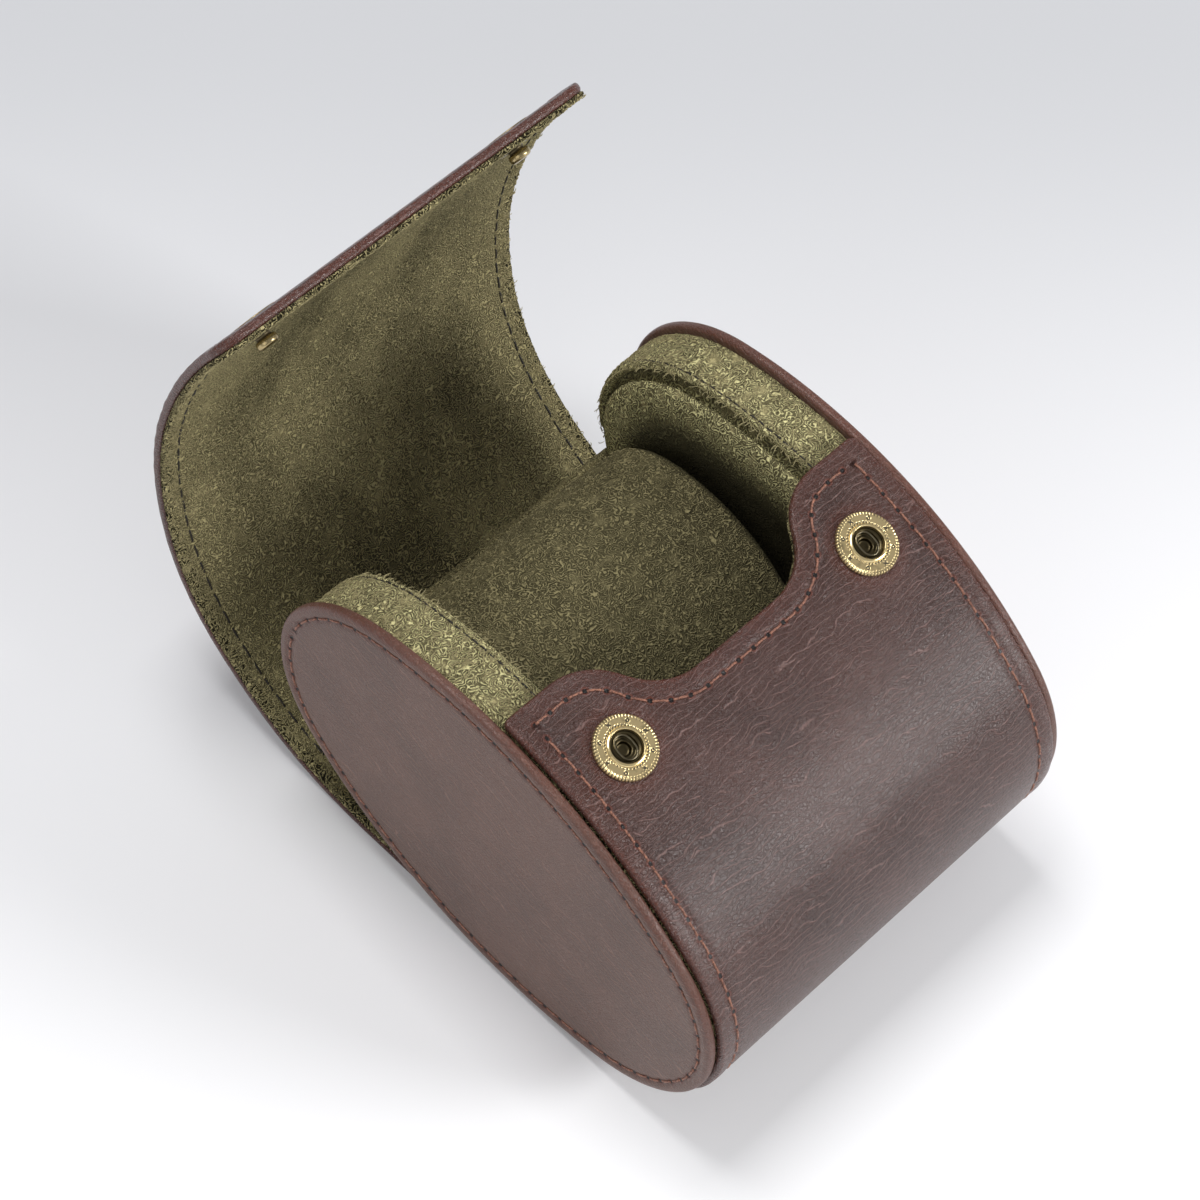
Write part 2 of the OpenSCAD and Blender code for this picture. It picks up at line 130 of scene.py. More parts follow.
def with_x(x, p):
    """Points (x, y, z) from x and points (y, z)."""
    return np.stack([np.broadcast_to(x, p.shape[:-1]), p[..., 0], p[..., 1]], -1)


def even_directions(count, oval=OVAL, first=0.0, last=360.0):
    """Directions that cut an oval's line between two directions into equal lengths."""
    t = np.linspace(first, last, 2881)
    size = lengths(oval_at(t, 0.0, oval))
    return np.interp(np.linspace(0, size[-1], count), size, t)


def stand(points):
    """Leans points of the case's frame forwards about X, shifts them to the standing case, in metres."""
    x, y, z = np.moveaxis(np.asarray(points, float), -1, 0)
    c, s = math.cos(LEAN), math.sin(LEAN)
    return np.stack([x, c * y - s * z + CENTRE[0], s * y + c * z + CENTRE[1]], -1) * MM


def unstand(y, z):
    """The (y, z) of the case's frame of a standing place, given in metres."""
    y, z = y / MM - CENTRE[0], z / MM - CENTRE[1]
    c, s = math.cos(LEAN), math.sin(LEAN)
    return np.array([c * y + s * z, c * z - s * y])


class Line:
    """A plane line of straight runs and arcs that join smoothly, from parts of a length and a curvature.
    A point is its part's start plus the chord of the arc run so far, plus n along the outward normal."""

    def __init__(self, start, way, parts):
        self.s, self.p, self.way, self.k = [0.0], [np.array(start)], [way], []
        for length, curvature in parts:
            self.k.append(curvature)
            here = self._go(self.p[-1], self.way[-1], curvature, length)
            self.p.append(here)
            self.way.append(self.way[-1] + math.degrees(curvature * length))
            self.s.append(self.s[-1] + length)
        self.s, self.p, self.way, self.k = (np.array(v) for v in (self.s, self.p, self.way, self.k))

    @staticmethod
    def _go(start, way, curvature, length):
        curvature, length = np.broadcast_arrays(np.asarray(curvature, float), np.asarray(length, float))
        safe = np.where(np.abs(curvature) < 1e-9, 1, curvature)
        turned = way + np.degrees(curvature * length)
        arc = (heading(turned - 90) - heading(way - 90)) / safe[..., None]
        run = length[..., None] * heading(way)
        return start + np.where(np.abs(curvature)[..., None] < 1e-9, run, arc)

    def at(self, s, n=0.0):
        """Points (y, z) at lengths s, n outside the line."""
        s = np.asarray(s, float)
        i = np.clip(np.searchsorted(self.s, s, "right") - 1, 0, len(self.k) - 1)
        way = self.way[i] + np.degrees(self.k[i] * (s - self.s[i]))
        p = self._go(self.p[i], self.way[i], self.k[i], s - self.s[i])
        return p + np.asarray(n)[..., None] * heading(way - 90)

    def way_at(self, s):
        i = np.clip(np.searchsorted(self.s, s, "right") - 1, 0, len(self.k) - 1)
        return self.way[i] + np.degrees(self.k[i] * (s - self.s[i]))


def strip_line():
    """The inner face of wrap and flap as one line: round the front, along the ground, up the flap."""
    big, j, r = flat_radius(OVAL), hand_over(OVAL), OVAL[2]
    parts = [(math.radians(180 - j - FRONT_EDGE) * (big + WRAP_IN), 1 / (big + WRAP_IN)),
             (math.radians(2 * j) * (r + WRAP_IN), 1 / (r + WRAP_IN)),
             (math.radians(ROOT_AT - 180 - j) * (big + WRAP_IN), 1 / (big + WRAP_IN)),
             (ROOT_RUN, 0)]
    bends = [unstand(*jt["pos_m"][1:]) for jt in frame["joints"] if jt["type"] == "hinge"]
    for radius, a, b in zip(STRETCH_R, bends, bends[1:]):
        chord = np.linalg.norm(b - a)
        parts.append((2 * math.asin(chord / 2 / radius) * radius, 1 / radius) if radius else (chord, 0))
    parts.append((TIP_REACH + TIP_TAIL, 1 / TIP_R))
    return Line(oval_at(FRONT_EDGE, WRAP_IN), FRONT_EDGE - 270, parts)


STRIP = strip_line()
BEND_S = STRIP.s[4:10]
S_TIP = STRIP.s[-1]
CUTS = np.r_[0, BEND_S[0] - 8, (BEND_S[1:] + BEND_S[:-1]) / 2, S_TIP]


def on_strip(x, s, n):
    """Places on the strip: x across it, s along it and n outside its inner face, standing, in metres."""
    return stand(with_x(x, STRIP.at(*np.broadcast_arrays(s, n))))


def ripple(p, size, seed, waves=9):
    """A smooth unsteady wave from -1 to 1 over points p: a mean of sine waves of about that size whose
    directions and phases come from the seed."""
    draw = np.random.default_rng(seed)
    way = draw.normal(size=(waves, p.shape[-1]))
    way *= (draw.uniform(0.6, 1.5, waves) * 2 * np.pi / size / np.linalg.norm(way, axis=1))[:, None]
    return np.sin(p @ way.T + draw.uniform(0, 2 * np.pi, waves)).mean(-1) * 2.2


# ---- Meshes ----


def link(name, data):
    """An object of some data, in the scene."""
    made = bpy.data.objects.new(name, data)
    bpy.context.scene.collection.objects.link(made)
    return made


def grid_faces(rows, columns):
    """Four-sided faces of a grid of rows and columns whose last column joins the first."""
    j = np.arange(rows - 1)[:, None]
    i = np.arange(columns)[None, :]
    k = (i + 1) % columns
    quads = np.stack([j * columns + i, j * columns + k, (j + 1) * columns + k, (j + 1) * columns + i], -1)
    return quads.reshape(-1, 4)


def cap_faces(columns, first):
    """Faces that close a ring listed outwards and back, by joining its two halves."""
    i = np.arange(columns // 2 - 1)
    return first + np.stack([i, i + 1, columns - 2 - i, columns - 1 - i], -1)


def make_mesh(name, points, faces, material, **fields):
    """A mesh object from points in metres and faces, with a value or vector at each point for each field.
    Points that coincide are joined, so seams and poles close, and the faces are turned outwards."""
    mesh = bpy.data.meshes.new(name)
    faces = faces.tolist() if isinstance(faces, np.ndarray) else faces
    mesh.from_pydata(points.reshape(-1, 3).tolist(), [], faces)
    for key, values in fields.items():
        kind, slot = ("FLOAT_VECTOR", "vector") if values.ndim > 1 else ("FLOAT", "value")
        layer = mesh.attributes.new(key, kind, "POINT")
        layer.data.foreach_set(slot, np.ascontiguousarray(values, np.float32).ravel())
    work = bmesh.new()
    work.from_mesh(mesh)
    bmesh.ops.remove_doubles(work, verts=work.verts, dist=2e-6)
    bmesh.ops.recalc_face_normals(work, faces=work.faces)
    work.to_mesh(mesh)
    work.free()
    mesh.polygons.foreach_set("use_smooth", np.ones(len(mesh.polygons), bool))
    mesh.set_sharp_from_angle(angle=math.radians(62))
    mesh.materials.append(material)
    return link(name, mesh)


def loft(name, rings, material, **fields):
    """A closed skin over rings, an array (rings, points, 3) in metres, each ring closed on itself."""
    flat = {k: v.reshape(-1, 3) if v.ndim > 2 else v.ravel() for k, v in fields.items()}
    return make_mesh(name, rings, grid_faces(*rings.shape[:2]), material, **flat)


def shell(name, outer, inner, material, lay, trim, skip=None):
    """A sheet with a thickness: outer and inner faces over one grid (across, along), joined round its
    edges. skip marks points of the grid whose faces are left out, as for a hole, whose wall is added."""
    def both(over, under):
        return np.concatenate([over, under[::-1]], 0).swapaxes(0, 1)
    rings, lays, trims = both(outer, inner), both(*lay), both(trim, trim)
    rows, columns = rings.shape[:2]
    faces = np.concatenate([grid_faces(rows, columns), cap_faces(columns, 0),
                            cap_faces(columns, (rows - 1) * columns)])
    if skip is not None:
        gone = both(skip, skip).ravel()
        keep = ~gone[faces].any(1)
        faces = np.concatenate([faces[keep], hole_walls(faces[~keep], faces[keep], columns)])
    return make_mesh(name, rings, faces, material, lay=lays.reshape(-1, 3), trim=trims.reshape(-1, 3))


LOTS = 10 ** 7


def hole_walls(gone, kept, columns):
    """Faces from the outer to the inner rim of a hole, one for each edge that a removed and a kept face
    share. An edge is known by its lower point times LOTS plus its higher point."""
    def edges(f):
        return np.sort(np.stack([f, np.roll(f, -1, 1)], -1).reshape(-1, 2), 1)
    a, b = edges(gone), edges(kept)
    rim = a[np.isin(a @ [LOTS, 1], b @ [LOTS, 1])]
    rim = rim[(rim % columns < columns // 2).all(1)]
    over = rim // columns * columns + columns - 1 - rim % columns
    return np.stack([rim[:, 0], rim[:, 1], over[:, 1], over[:, 0]], -1)


def bulge(edge, reach, power=2.4):
    """Share of the half thickness at a distance from the edge: a rounded edge that closes at 0."""
    u = 1 - np.clip(edge / reach, 0, 1)
    return (1 - u ** power) ** (1 / power)


def nearest(path, points):
    """For points in a plane, the length along a path of points at the nearest place, and the distance."""
    step = np.diff(path, axis=0)
    size = np.linalg.norm(step, axis=1)
    start = lengths(path)[:-1]
    flat = points.reshape(-1, 2)
    along, far = np.empty(len(flat)), np.empty(len(flat))
    for part in np.array_split(np.arange(len(flat)), max(1, len(flat) // 4000)):
        away = flat[part][:, None] - path[:-1]
        u = np.clip((away * step).sum(-1) / size ** 2, 0, 1)
        gap = np.linalg.norm(away - u[..., None] * step, axis=-1)
        best = gap.argmin(1)
        row = np.arange(len(part))
        along[part] = start[best] + u[row, best] * size[best]
        far[part] = gap[row, best]
    return along.reshape(points.shape[:-1]), far.reshape(points.shape[:-1])


def tubes(centres, up, side, radius, sides=6):
    """Points and faces of separate round threads: centres (count, rings, 3), each ring in the plane of the
    directions up and side at its centre; the first and last rings shrink to close."""
    count, rings = centres.shape[:2]
    angle = np.arange(sides) * 2 * np.pi / sides
    size = np.full(rings, radius)
    size[[0, -1]] = radius * 0.2
    spread = np.cos(angle)[:, None] * up[:, :, None] + np.sin(angle)[:, None] * side[:, :, None]
    points = centres[:, :, None] + size[None, :, None, None] * spread
    first = np.arange(count)[:, None] * rings * sides
    faces = grid_faces(rings, sides)[None] + first[..., None]
    ends = np.arange(sides)[::-1] + first
    tails = np.arange(sides) + first + (rings - 1) * sides
    return points.reshape(-1, 3), faces.reshape(-1, 4).tolist() + ends.tolist() + tails.tolist()


# ---- Shader maths ----


class Value:
    """The output of a node. The signs of arithmetic on values add Math nodes."""

    def __init__(self, graph, socket):
        self.graph, self.socket = graph, socket

    def math(self, operation, first, *others):
        values = dict(enumerate((first,) + others))
        return self.graph.node("ShaderNodeMath", {"operation": operation}, values)

    def __add__(self, other):
        return self.math("ADD", self, other)

    def __radd__(self, other):
        return self.math("ADD", other, self)

    def __sub__(self, other):
        return self.math("SUBTRACT", self, other)

    def __rsub__(self, other):
        return self.math("SUBTRACT", other, self)

    def __mul__(self, other):
        return self.math("MULTIPLY", self, other)

    def __rmul__(self, other):
        return self.math("MULTIPLY", other, self)

    def __truediv__(self, other):
        return self.math("DIVIDE", self, other)

    def __pow__(self, other):
        return self.math("POWER", self, other)

    def __abs__(self):
        return self.math("ABSOLUTE", self)

    def over(self, other):
        """The larger of two values."""
        return self.math("MAXIMUM", self, other)

    def wave(self, length):
        """Distance to the nearest multiple of a length."""
        return abs(self.math("WRAP", self, length / 2, -length / 2))

    def ramp(self, low, high):
        """0 below low, 1 above high, and a smooth step between; high may be the lower one."""
        flip = high < low
        values = {"Value": self, "From Min": min(low, high), "From Max": max(low, high),
                  "To Min": float(flip), "To Max": float(not flip)}
        return self.graph.node("ShaderNodeMapRange", {"interpolation_type": "SMOOTHSTEP"}, values)


class Graph:
    """A material's nodes, built up by calls."""

    def __init__(self, name):
        self.material = bpy.data.materials.new(name)
        self.material.use_nodes = True
        self.tree = self.material.node_tree
        self.tree.nodes.clear()

    def node(self, kind, settings=None, values=None, output=0):
        """Adds a node, applies its settings, then its sockets' values or links, and gives an output."""
        made = self.tree.nodes.new(kind)
        for key, value in (settings or {}).items():
            setattr(made, key, value)
        for key, value in (values or {}).items():
            if isinstance(value, Value):
                self.tree.links.new(value.socket, made.inputs[key])
            else:
                made.inputs[key].default_value = value
        return Value(self, made.outputs[output]) if len(made.outputs) else None

    def field(self, name, output="Vector"):
        return self.node("ShaderNodeAttribute", {"attribute_name": name}, output=output)

    def place(self):
        """The object's own coordinates, in millimetres."""
        metres = self.node("ShaderNodeTexCoord", output="Object")
        return self.scaled(metres, (1 / MM,) * 3)

    def scaled(self, vector, by):
        return self.node("ShaderNodeVectorMath", {"operation": "MULTIPLY"}, {0: vector, 1: by})

    def parts(self, vector):
        return [self.node("ShaderNodeSeparateXYZ", values={0: vector}, output=i) for i in range(3)]

    def noise(self, vector, scale, detail=2.0, rough=0.5, output=0):
        values = {"Vector": vector, "Scale": scale, "Detail": detail, "Roughness": rough}
        return self.node("ShaderNodeTexNoise", values=values, output=output)

    def cells(self, vector, scale, feature="DISTANCE_TO_EDGE"):
        return self.node("ShaderNodeTexVoronoi", {"feature": feature}, {"Vector": vector, "Scale": scale})

    def drifted(self, vector, scale, by):
        """A vector pushed about by a noise of that scale."""
        push = self.noise(vector, scale, 1.0, output=1)
        centred = self.node("ShaderNodeVectorMath", {"operation": "SUBTRACT"}, {0: push, 1: (0.5,) * 3})
        return self.node("ShaderNodeVectorMath", {"operation": "MULTIPLY_ADD"},
                         {0: centred, 1: (2 * by,) * 3, 2: vector})

    def rings(self, vector, scale, count, width, seed):
        """Curling lines: rings round the hills and hollows of a noise, count of them over its range."""
        shift = (seed, 7 * seed, 3 * seed)
        moved = self.node("ShaderNodeVectorMath", {"operation": "ADD"}, {0: vector, 1: shift})
        return (self.noise(moved, scale, 0.0) * count).wave(1.0).ramp(width, width * 0.2)

    def mix(self, first, second, factor):
        first, second = (v if isinstance(v, Value) else (*v, 1) for v in (first, second))
        return self.node("ShaderNodeMix", {"data_type": "RGBA"}, {0: factor, 6: first, 7: second}, 2)

    def finish(self, colour, rough, height, depth, metal=0.0, **fixed):
        """The surface: colour, roughness and a bump whose height of 1 is depth millimetres."""
        bump = self.node("ShaderNodeBump", values={"Height": height, "Distance": depth * MM, "Strength": 1})
        values = {"Base Color": colour, "Roughness": rough, "Metallic": metal, "Normal": bump, **fixed}
        shader = self.node("ShaderNodeBsdfPrincipled", values=values)
        self.node("ShaderNodeOutputMaterial", values={"Surface": shader})
        return self.material


def tint(rgb):
    """A colour written as it is seen, 0 to 255, as linear light."""
    v = np.array(rgb, float) / 255
    return tuple(np.where(v <= 0.04045, v / 12.92, ((v + 0.055) / 1.055) ** 2.4).tolist())


STITCH_PITCH = 3.9
SOCKET_S = math.radians(SOCKET_AT - FRONT_EDGE) * (flat_radius(OVAL) + WRAP_IN)


def leather_finish(name, base, deep, bright, burnt, crackle, rough, halo):
    """Pull-up leather: long fine creases that run along the case over a grain of small cells, a mottled
    tone, burnt edges, a burnt halo round each place (x, s) of halo, and needle holes with raised lips."""
    g = Graph(name)
    lay = g.field("lay")
    along, off, edge = g.parts(g.field("trim"))
    x, s, _ = g.parts(lay)
    bent = g.drifted(g.drifted(lay, 0.22, 0.8), 1.3, 0.14)
    large = g.noise(lay, 0.035, 3.0, 0.6)
    fine = g.noise(lay, 2.6, 3.0, 0.7)
    gate = g.noise(g.scaled(bent, (0.15, 0.55, 1.0)), 1.0, 2.0)
    area = g.noise(lay, 0.05, 2.0)
    across_x, down, _ = g.parts(bent)
    drift = g.noise(g.scaled(lay, (0.10, 0.20, 1.0)), 1.0, 1.0) * 2.3
    first = (down / 1.15 + across_x * 0.06 + drift).wave(1.0).ramp(0.105, 0.025)
    second = (down / 1.35 - across_x * 0.10 + drift * 1.3).wave(1.0).ramp(0.11, 0.025)
    both = (first * gate.ramp(0.42, 0.52)).over(second * gate.ramp(0.57, 0.47) * 0.85)
    creases = both * area.ramp(0.25, 0.48) * crackle
    cells = g.cells(g.scaled(bent, (0.8, 1.2, 1.0)), 1.3).ramp(0.12, 0.0)
    pores = g.cells(lay, 2.1, "F1").ramp(0.34, 0.12)
    tone = g.mix(deep, base, large.ramp(0.34, 0.64) * 0.55 + fine.ramp(0.34, 0.64) * 0.45)
    tone = g.mix(tone, deep, pores * 0.35)
    # Painted highlight: the creases are lightened towards bright, partly the leather's own paler creases
    # and partly a highlight on their ridges.
    crease_pale_and_highlight = creases * (fine.ramp(0.25, 0.6) * 0.6 + 0.3)
    tone = g.mix(tone, bright, crease_pale_and_highlight + cells * crackle * area.ramp(0.6, 0.4) * 0.22)
    ringed = ((abs(x) - halo[0]) ** 2 + (s - halo[1]) ** 2) ** 0.5
    worn = (edge.ramp(1.7, 0.2) * 0.8).over(edge.ramp(5.5, 1.0) * 0.3).over(ringed.ramp(9.5, 6.4) * 0.5)
    tone = g.mix(tone, burnt, worn * (0.25 + area) * fine.ramp(0.22, 0.6))
    hole = ((along.wave(STITCH_PITCH) / 0.55) ** 2 + (off / 0.40) ** 2).ramp(1.2, 0.8)
    lips = ((along.wave(STITCH_PITCH) / 0.90) ** 2 + (off / 0.75) ** 2).ramp(1.4, 0.7)
    tone = g.mix(tone, burnt, lips * 0.8)
    # Painted shade: each needle hole is painted near black.
    tone = g.mix(tone, tint((9, 5, 4)), hole)
    height = 1.0 - creases * 0.75 - cells * 0.42 - pores * 0.35 + fine * 0.6 + lips * 0.35 - hole * 2.0
    return g.finish(tone, rough + (fine - 0.5) * 0.3 + creases * 0.12 - worn * 0.08, height, 0.22,
                    **{"Specular IOR Level": 0.55, "Coat Weight": 0.10, "Coat Roughness": 0.28})


def suede_finish(name, light, dark, deep, curl, size, patches):
    """Suede: curled fibres over a dark ground, brushed into lighter and darker patches, pale towards cut
    edges. Two sets of rings take turns, so that each curl is a short arc."""
    g = Graph(name)
    lay = g.field("lay")
    edge = g.node("ShaderNodeSeparateXYZ", values={0: g.field("trim")}, output=2)
    bent = g.drifted(lay, 1.1 / size, 0.22 * size)
    turn = g.noise(lay, 0.85 / size, 1.0).ramp(0.47, 0.53)
    first = g.rings(bent, 0.50 / size, 7.0, 0.36, 1.3)
    second = g.rings(bent, 0.72 / size, 6.0, 0.36, 5.9)
    fibres = first * turn + second * (1 - turn)
    fine = g.noise(lay, 2.6 / size, 3.0, 0.7)
    brushed = g.noise(g.scaled(lay, (1.0, 0.6, 1.0)), 0.045, 3.0, 0.6)
    small = g.noise(lay, 0.30, 3.0, 0.65)
    strong = (curl + edge.ramp(3.2, 0.8) * 0.6) * small.ramp(0.20, 0.52)
    lift = brushed.ramp(0.36, 0.66) * patches + (1 - patches) * 0.5 + (small - 0.5) * 0.5
    tone = g.mix(dark, light, lift + edge.ramp(26.0, 1.5) * 0.9)
    # Painted shade in the gaps between the curls, then a painted highlight on the curls themselves.
    tone = g.mix(tone, deep, (1 - fibres) * 0.8 * strong + fine.ramp(0.48, 0.3) * 0.25)
    painted_fibre_highlight = np.minimum(1.0, 1.5 * light)
    tone = g.mix(tone, painted_fibre_highlight, fibres * strong * 0.6 + fine.ramp(0.6, 0.8) * 0.2)
    # Painted shade: a mesh field gives a share of darkening in recesses, set in the wall pads' valley and
    # low face and at the cushion's ends.
    tone = g.mix(tone, deep, g.field("shade", "Fac"))
    return g.finish(tone, 0.95, fibres * strong + fine * 0.35 + small * 0.7, 0.8 * size,
                    **{"Specular IOR Level": 0.1, "Sheen Weight": 0.12, "Sheen Roughness": 0.5,
                       "Sheen Tint": (*tint((150, 142, 104)), 1)})


def thread_finish(name, base, dark):
    """Thread: two tones of a fine noise, with its bump."""
    g = Graph(name)
    twist = g.noise(g.place(), 3.0, 2.0)
    return g.finish(g.mix(dark, base, twist.ramp(0.3, 0.7)), 0.55, twist, 0.05)


def brass_finish(name, bright, dull, dark, rough):
    """Aged brass: brushed and spotted, dark where it is sunk."""
    g = Graph(name)
    place = g.place()
    sunk = g.field("sunk", "Fac")
    cloud = g.noise(place, 0.5, 4.0, 0.6)
    fine = g.noise(place, 5.0, 3.0, 0.6)
    tone = g.mix(dull, bright, cloud.ramp(0.2, 0.5))
    tone = g.mix(tone, dark, sunk.ramp(0.05, 0.6) * 0.95)
    metal = 1.0 - sunk.ramp(0.1, 0.8) * 0.7
    return g.finish(tone, rough + (fine - 0.5) * 0.14 + sunk * 0.35, fine, 0.008, metal)


def plain_finish(name, light, dark, rough):
    """A hidden board or foam: two tones of a fine noise, with its bump."""
    g = Graph(name)
    grit = g.noise(g.place(), 1.2, 4.0, 0.6)
    return g.finish(g.mix(dark, light, grit), rough, grit, 0.1)


FINISH = {}


def make_finishes(colours):
    """Makes every material from the colours that a user may change."""
    leather, disc, burnt, suede, brass = (np.array(getattr(colours, key)[:]) for key in
                                          ("leather", "disc", "burnt", "suede", "brass"))
    sockets, nowhere = (SNAP_X, SOCKET_S), (900, 900)
    FINISH["leather"] = leather_finish("wrap_leather", leather, leather * 0.5, leather * 2.3 + 0.09, burnt,
                                       1.0, 0.29, sockets)
    FINISH["disc"] = leather_finish("disc_leather", disc, disc * 0.6, disc * 1.9 + 0.06, burnt,
                                    0.8, 0.44, nowhere)
    # The curly suede of rims and wall pads is a far lighter copy of the suede than the lining's and the
    # cushion's: painted light from above.
    FINISH["curly"] = suede_finish("curly_suede", suede * 3.8, suede * 2.5, suede * 0.2, 1.0, 1.0, 0.5)
    FINISH["fine"] = suede_finish("fine_suede", suede * 2.3, suede * 0.62, suede * 0.1, 0.85, 0.85, 1.0)
    FINISH["cushion"] = suede_finish("cushion_suede", suede * 1.4, suede * 0.8, suede * 0.08,
                                     0.9, 0.85, 0.8)
    FINISH["fluff"] = plain_finish("suede_fluff", suede * 2.5, suede * 1.1, 0.95)
    FINISH["thread"] = thread_finish("stitch_thread", tint((172, 120, 98)), tint((92, 55, 43)))
    FINISH["seam"] = thread_finish("seam_thread", tint((48, 40, 26)), tint((20, 16, 10)))
    for key, name, bright, dull, dark, rough in (
            ("brass", "aged_brass", brass, brass * 0.55, (26, 20, 12), 0.22),
            ("bronze", "dark_bronze", brass * 0.5, brass * 0.26, (20, 18, 15), 0.26),
            # Next: the socket well's brass, nearly black, a painted shade in the hole.
            ("dark_brass", "dark_brass", brass * 0.09, brass * 0.05, (8, 6, 4), 0.3),
            ("wire", "spring_wire", tint((120, 112, 92)), tint((60, 54, 42)), (16, 14, 10), 0.3)):
        FINISH[key] = brass_finish(name, bright, dull, tint(dark), rough)
    FINISH["board"] = plain_finish("grey_board", tint((176, 154, 120)), tint((140, 120, 92)), 0.9)
    FINISH["foam"] = plain_finish("soft_foam", tint((225, 220, 205)), tint((200, 194, 176)), 0.95)


# ---- Wrap and flap ----

STITCH_IN = 4.0
TIP_CORNER, FRONT_CORNER = 5.0, 1.4
SOCKET_HOLE = 4.6
SCOOP_MOUTH, SCOOP_FLOOR, SCOOP_DEPTH = 68, 20, 14


def scoop_depth(x):
    """Depth of the scoop at x: two equal arcs that meet half way up, between its mouth and its floor."""
    wide = (SCOOP_MOUTH - SCOOP_FLOOR) / 2
    r = wide / 2 / math.sin(2 * math.atan(SCOOP_DEPTH / wide))
    u = np.clip(np.abs(x) - SCOOP_FLOOR / 2, 0, wide)
    low = SCOOP_DEPTH - r + np.sqrt(np.maximum(r * r - u * u, 0))
    high = r - np.sqrt(np.maximum(r * r - (wide - u) ** 2, 0))
    return np.where(u < wide / 2, low, high)


def corner(x, radius):
    """How far a rounded corner draws the end back at x."""
    u = np.clip(np.abs(x) - (WRAP_HALF - radius), 0, radius)
    return radius - np.sqrt(np.maximum(radius ** 2 - u ** 2, 0))


def front_edge(x, rounded=True):
    """Length along the strip at which its front edge lies: the scoop's depth, taken along Y on the oval."""
    big = flat_radius(OVAL)
    y = big * math.cos(math.radians(FRONT_EDGE)) - scoop_depth(x)
    s = (np.degrees(np.arccos(y / big)) - FRONT_EDGE) * math.pi / 180 * (big + WRAP_IN)
    return s + (corner(x, FRONT_CORNER) if rounded else 0)


def edge_path(x, inward):
    """The front edge moved inwards, as points (x, s): each point goes along the edge's normal."""
    s = front_edge(x, False)
    slope = np.gradient(s, x)
    size = np.sqrt(1 + slope ** 2)
    return np.stack([x - inward * slope / size, s + inward / size], -1)


def stitch_paths():
    """The stitch line of the front edge and of the two sides and the tip, as points (x, s)."""
    reach = WRAP_HALF - STITCH_IN
    mouth = edge_path(np.linspace(-SCOOP_MOUTH / 2, SCOOP_MOUTH / 2, 401), STITCH_IN)
    front = np.concatenate([[[-reach, STITCH_IN]], mouth, [[reach, STITCH_IN]]])
    last = S_TIP - STITCH_IN
    turn = np.radians(np.linspace(0, 90, 9))
    r = TIP_CORNER - STITCH_IN + 1.5
    bend = np.stack([reach - r + r * np.cos(turn), last - r + r * np.sin(turn)], -1)
    rest = np.concatenate([[[reach, STITCH_IN]], bend, bend[::-1] * [-1, 1], [[-reach, STITCH_IN]]])
    return front, rest


def dense(path, step=0.5):
    """A path of points with more points put between them."""
    size = lengths(path)
    u = np.linspace(0, size[-1], int(size[-1] / step) + 2)
    return np.stack([np.interp(u, size, path[:, k]) for k in (0, 1)], -1)


def across():
    """Places across the strip, closest together at its edges and near its stitch lines."""
    turn = np.radians(np.r_[np.linspace(0, 60, 7), 66, 72, 77, 81, 85, 88, 90])
    rim = WRAP_HALF - TIP_CORNER + TIP_CORNER * np.sin(turn)
    near = np.arange(WRAP_HALF - TIP_CORNER - 3.5, WRAP_HALF - TIP_CORNER - 0.1, 0.5)
    core = np.linspace(0, near[0], 40)[:-1]
    half = np.r_[core, near, rim]
    return np.r_[-half[:0:-1], half]


def strip_grid(piece):
    """The grid (x, s) of a piece of the strip, and its distance from the true edges. The first piece's rows
    follow the front edge and straighten further on; the last piece's rows follow the tip."""
    x = across()
    start, end = CUTS[piece], CUTS[piece + 1]
    close = np.r_[0, 0.04, 0.12, 0.25, 0.42, 0.65, 0.95, np.arange(1.4, 8.1, 0.5)]
    if piece == 0:
        v = np.r_[close, np.linspace(8.6, end, int(end - 8.6))]
        s = v[None] + front_edge(x)[:, None] * np.clip(1 - v / 60, 0, 1)[None]
    elif piece == len(CUTS) - 2:
        v = np.r_[np.linspace(start, S_TIP - 8.6, int(S_TIP - 8.6 - start)), S_TIP - close[::-1]]
        s = v[None] - corner(x, TIP_CORNER)[:, None] * np.clip((v - S_TIP + 30) / 30, 0, 1)[None]
    else:
        s = np.linspace(start, end, max(12, int(end - start)))[None] + 0 * x[:, None]
    x = x[:, None] + 0 * s
    edge = WRAP_HALF - np.abs(x)
    if piece == 0:
        slope = np.gradient(front_edge(across(), False), across())
        front = (s - front_edge(x)) / np.sqrt(1 + slope ** 2)[:, None]
        edge = np.minimum(edge, front)
    if piece == len(CUTS) - 2:
        u, v = np.abs(x) - (WRAP_HALF - TIP_CORNER), s - (S_TIP - TIP_CORNER)
        rounded = TIP_CORNER - np.hypot(np.maximum(u, 0), np.maximum(v, 0))
        edge = np.minimum(edge, np.minimum(S_TIP - s, np.where((u > 0) & (v > 0), rounded, 1e3)))
    return x, s, np.maximum(edge, 0)


def frayed(edge, x, s):
    """The edge distance of a suede ply, whose cut edge wanders a little."""
    p = np.stack([x, s], -1)
    return np.maximum(edge - 0.12 - 0.10 * ripple(p, 2.2, 5) - 0.06 * ripple(p, 0.9, 6), 0)


def piece_name(piece):
    return "wrap" if piece == 0 else f"flap_{piece}"


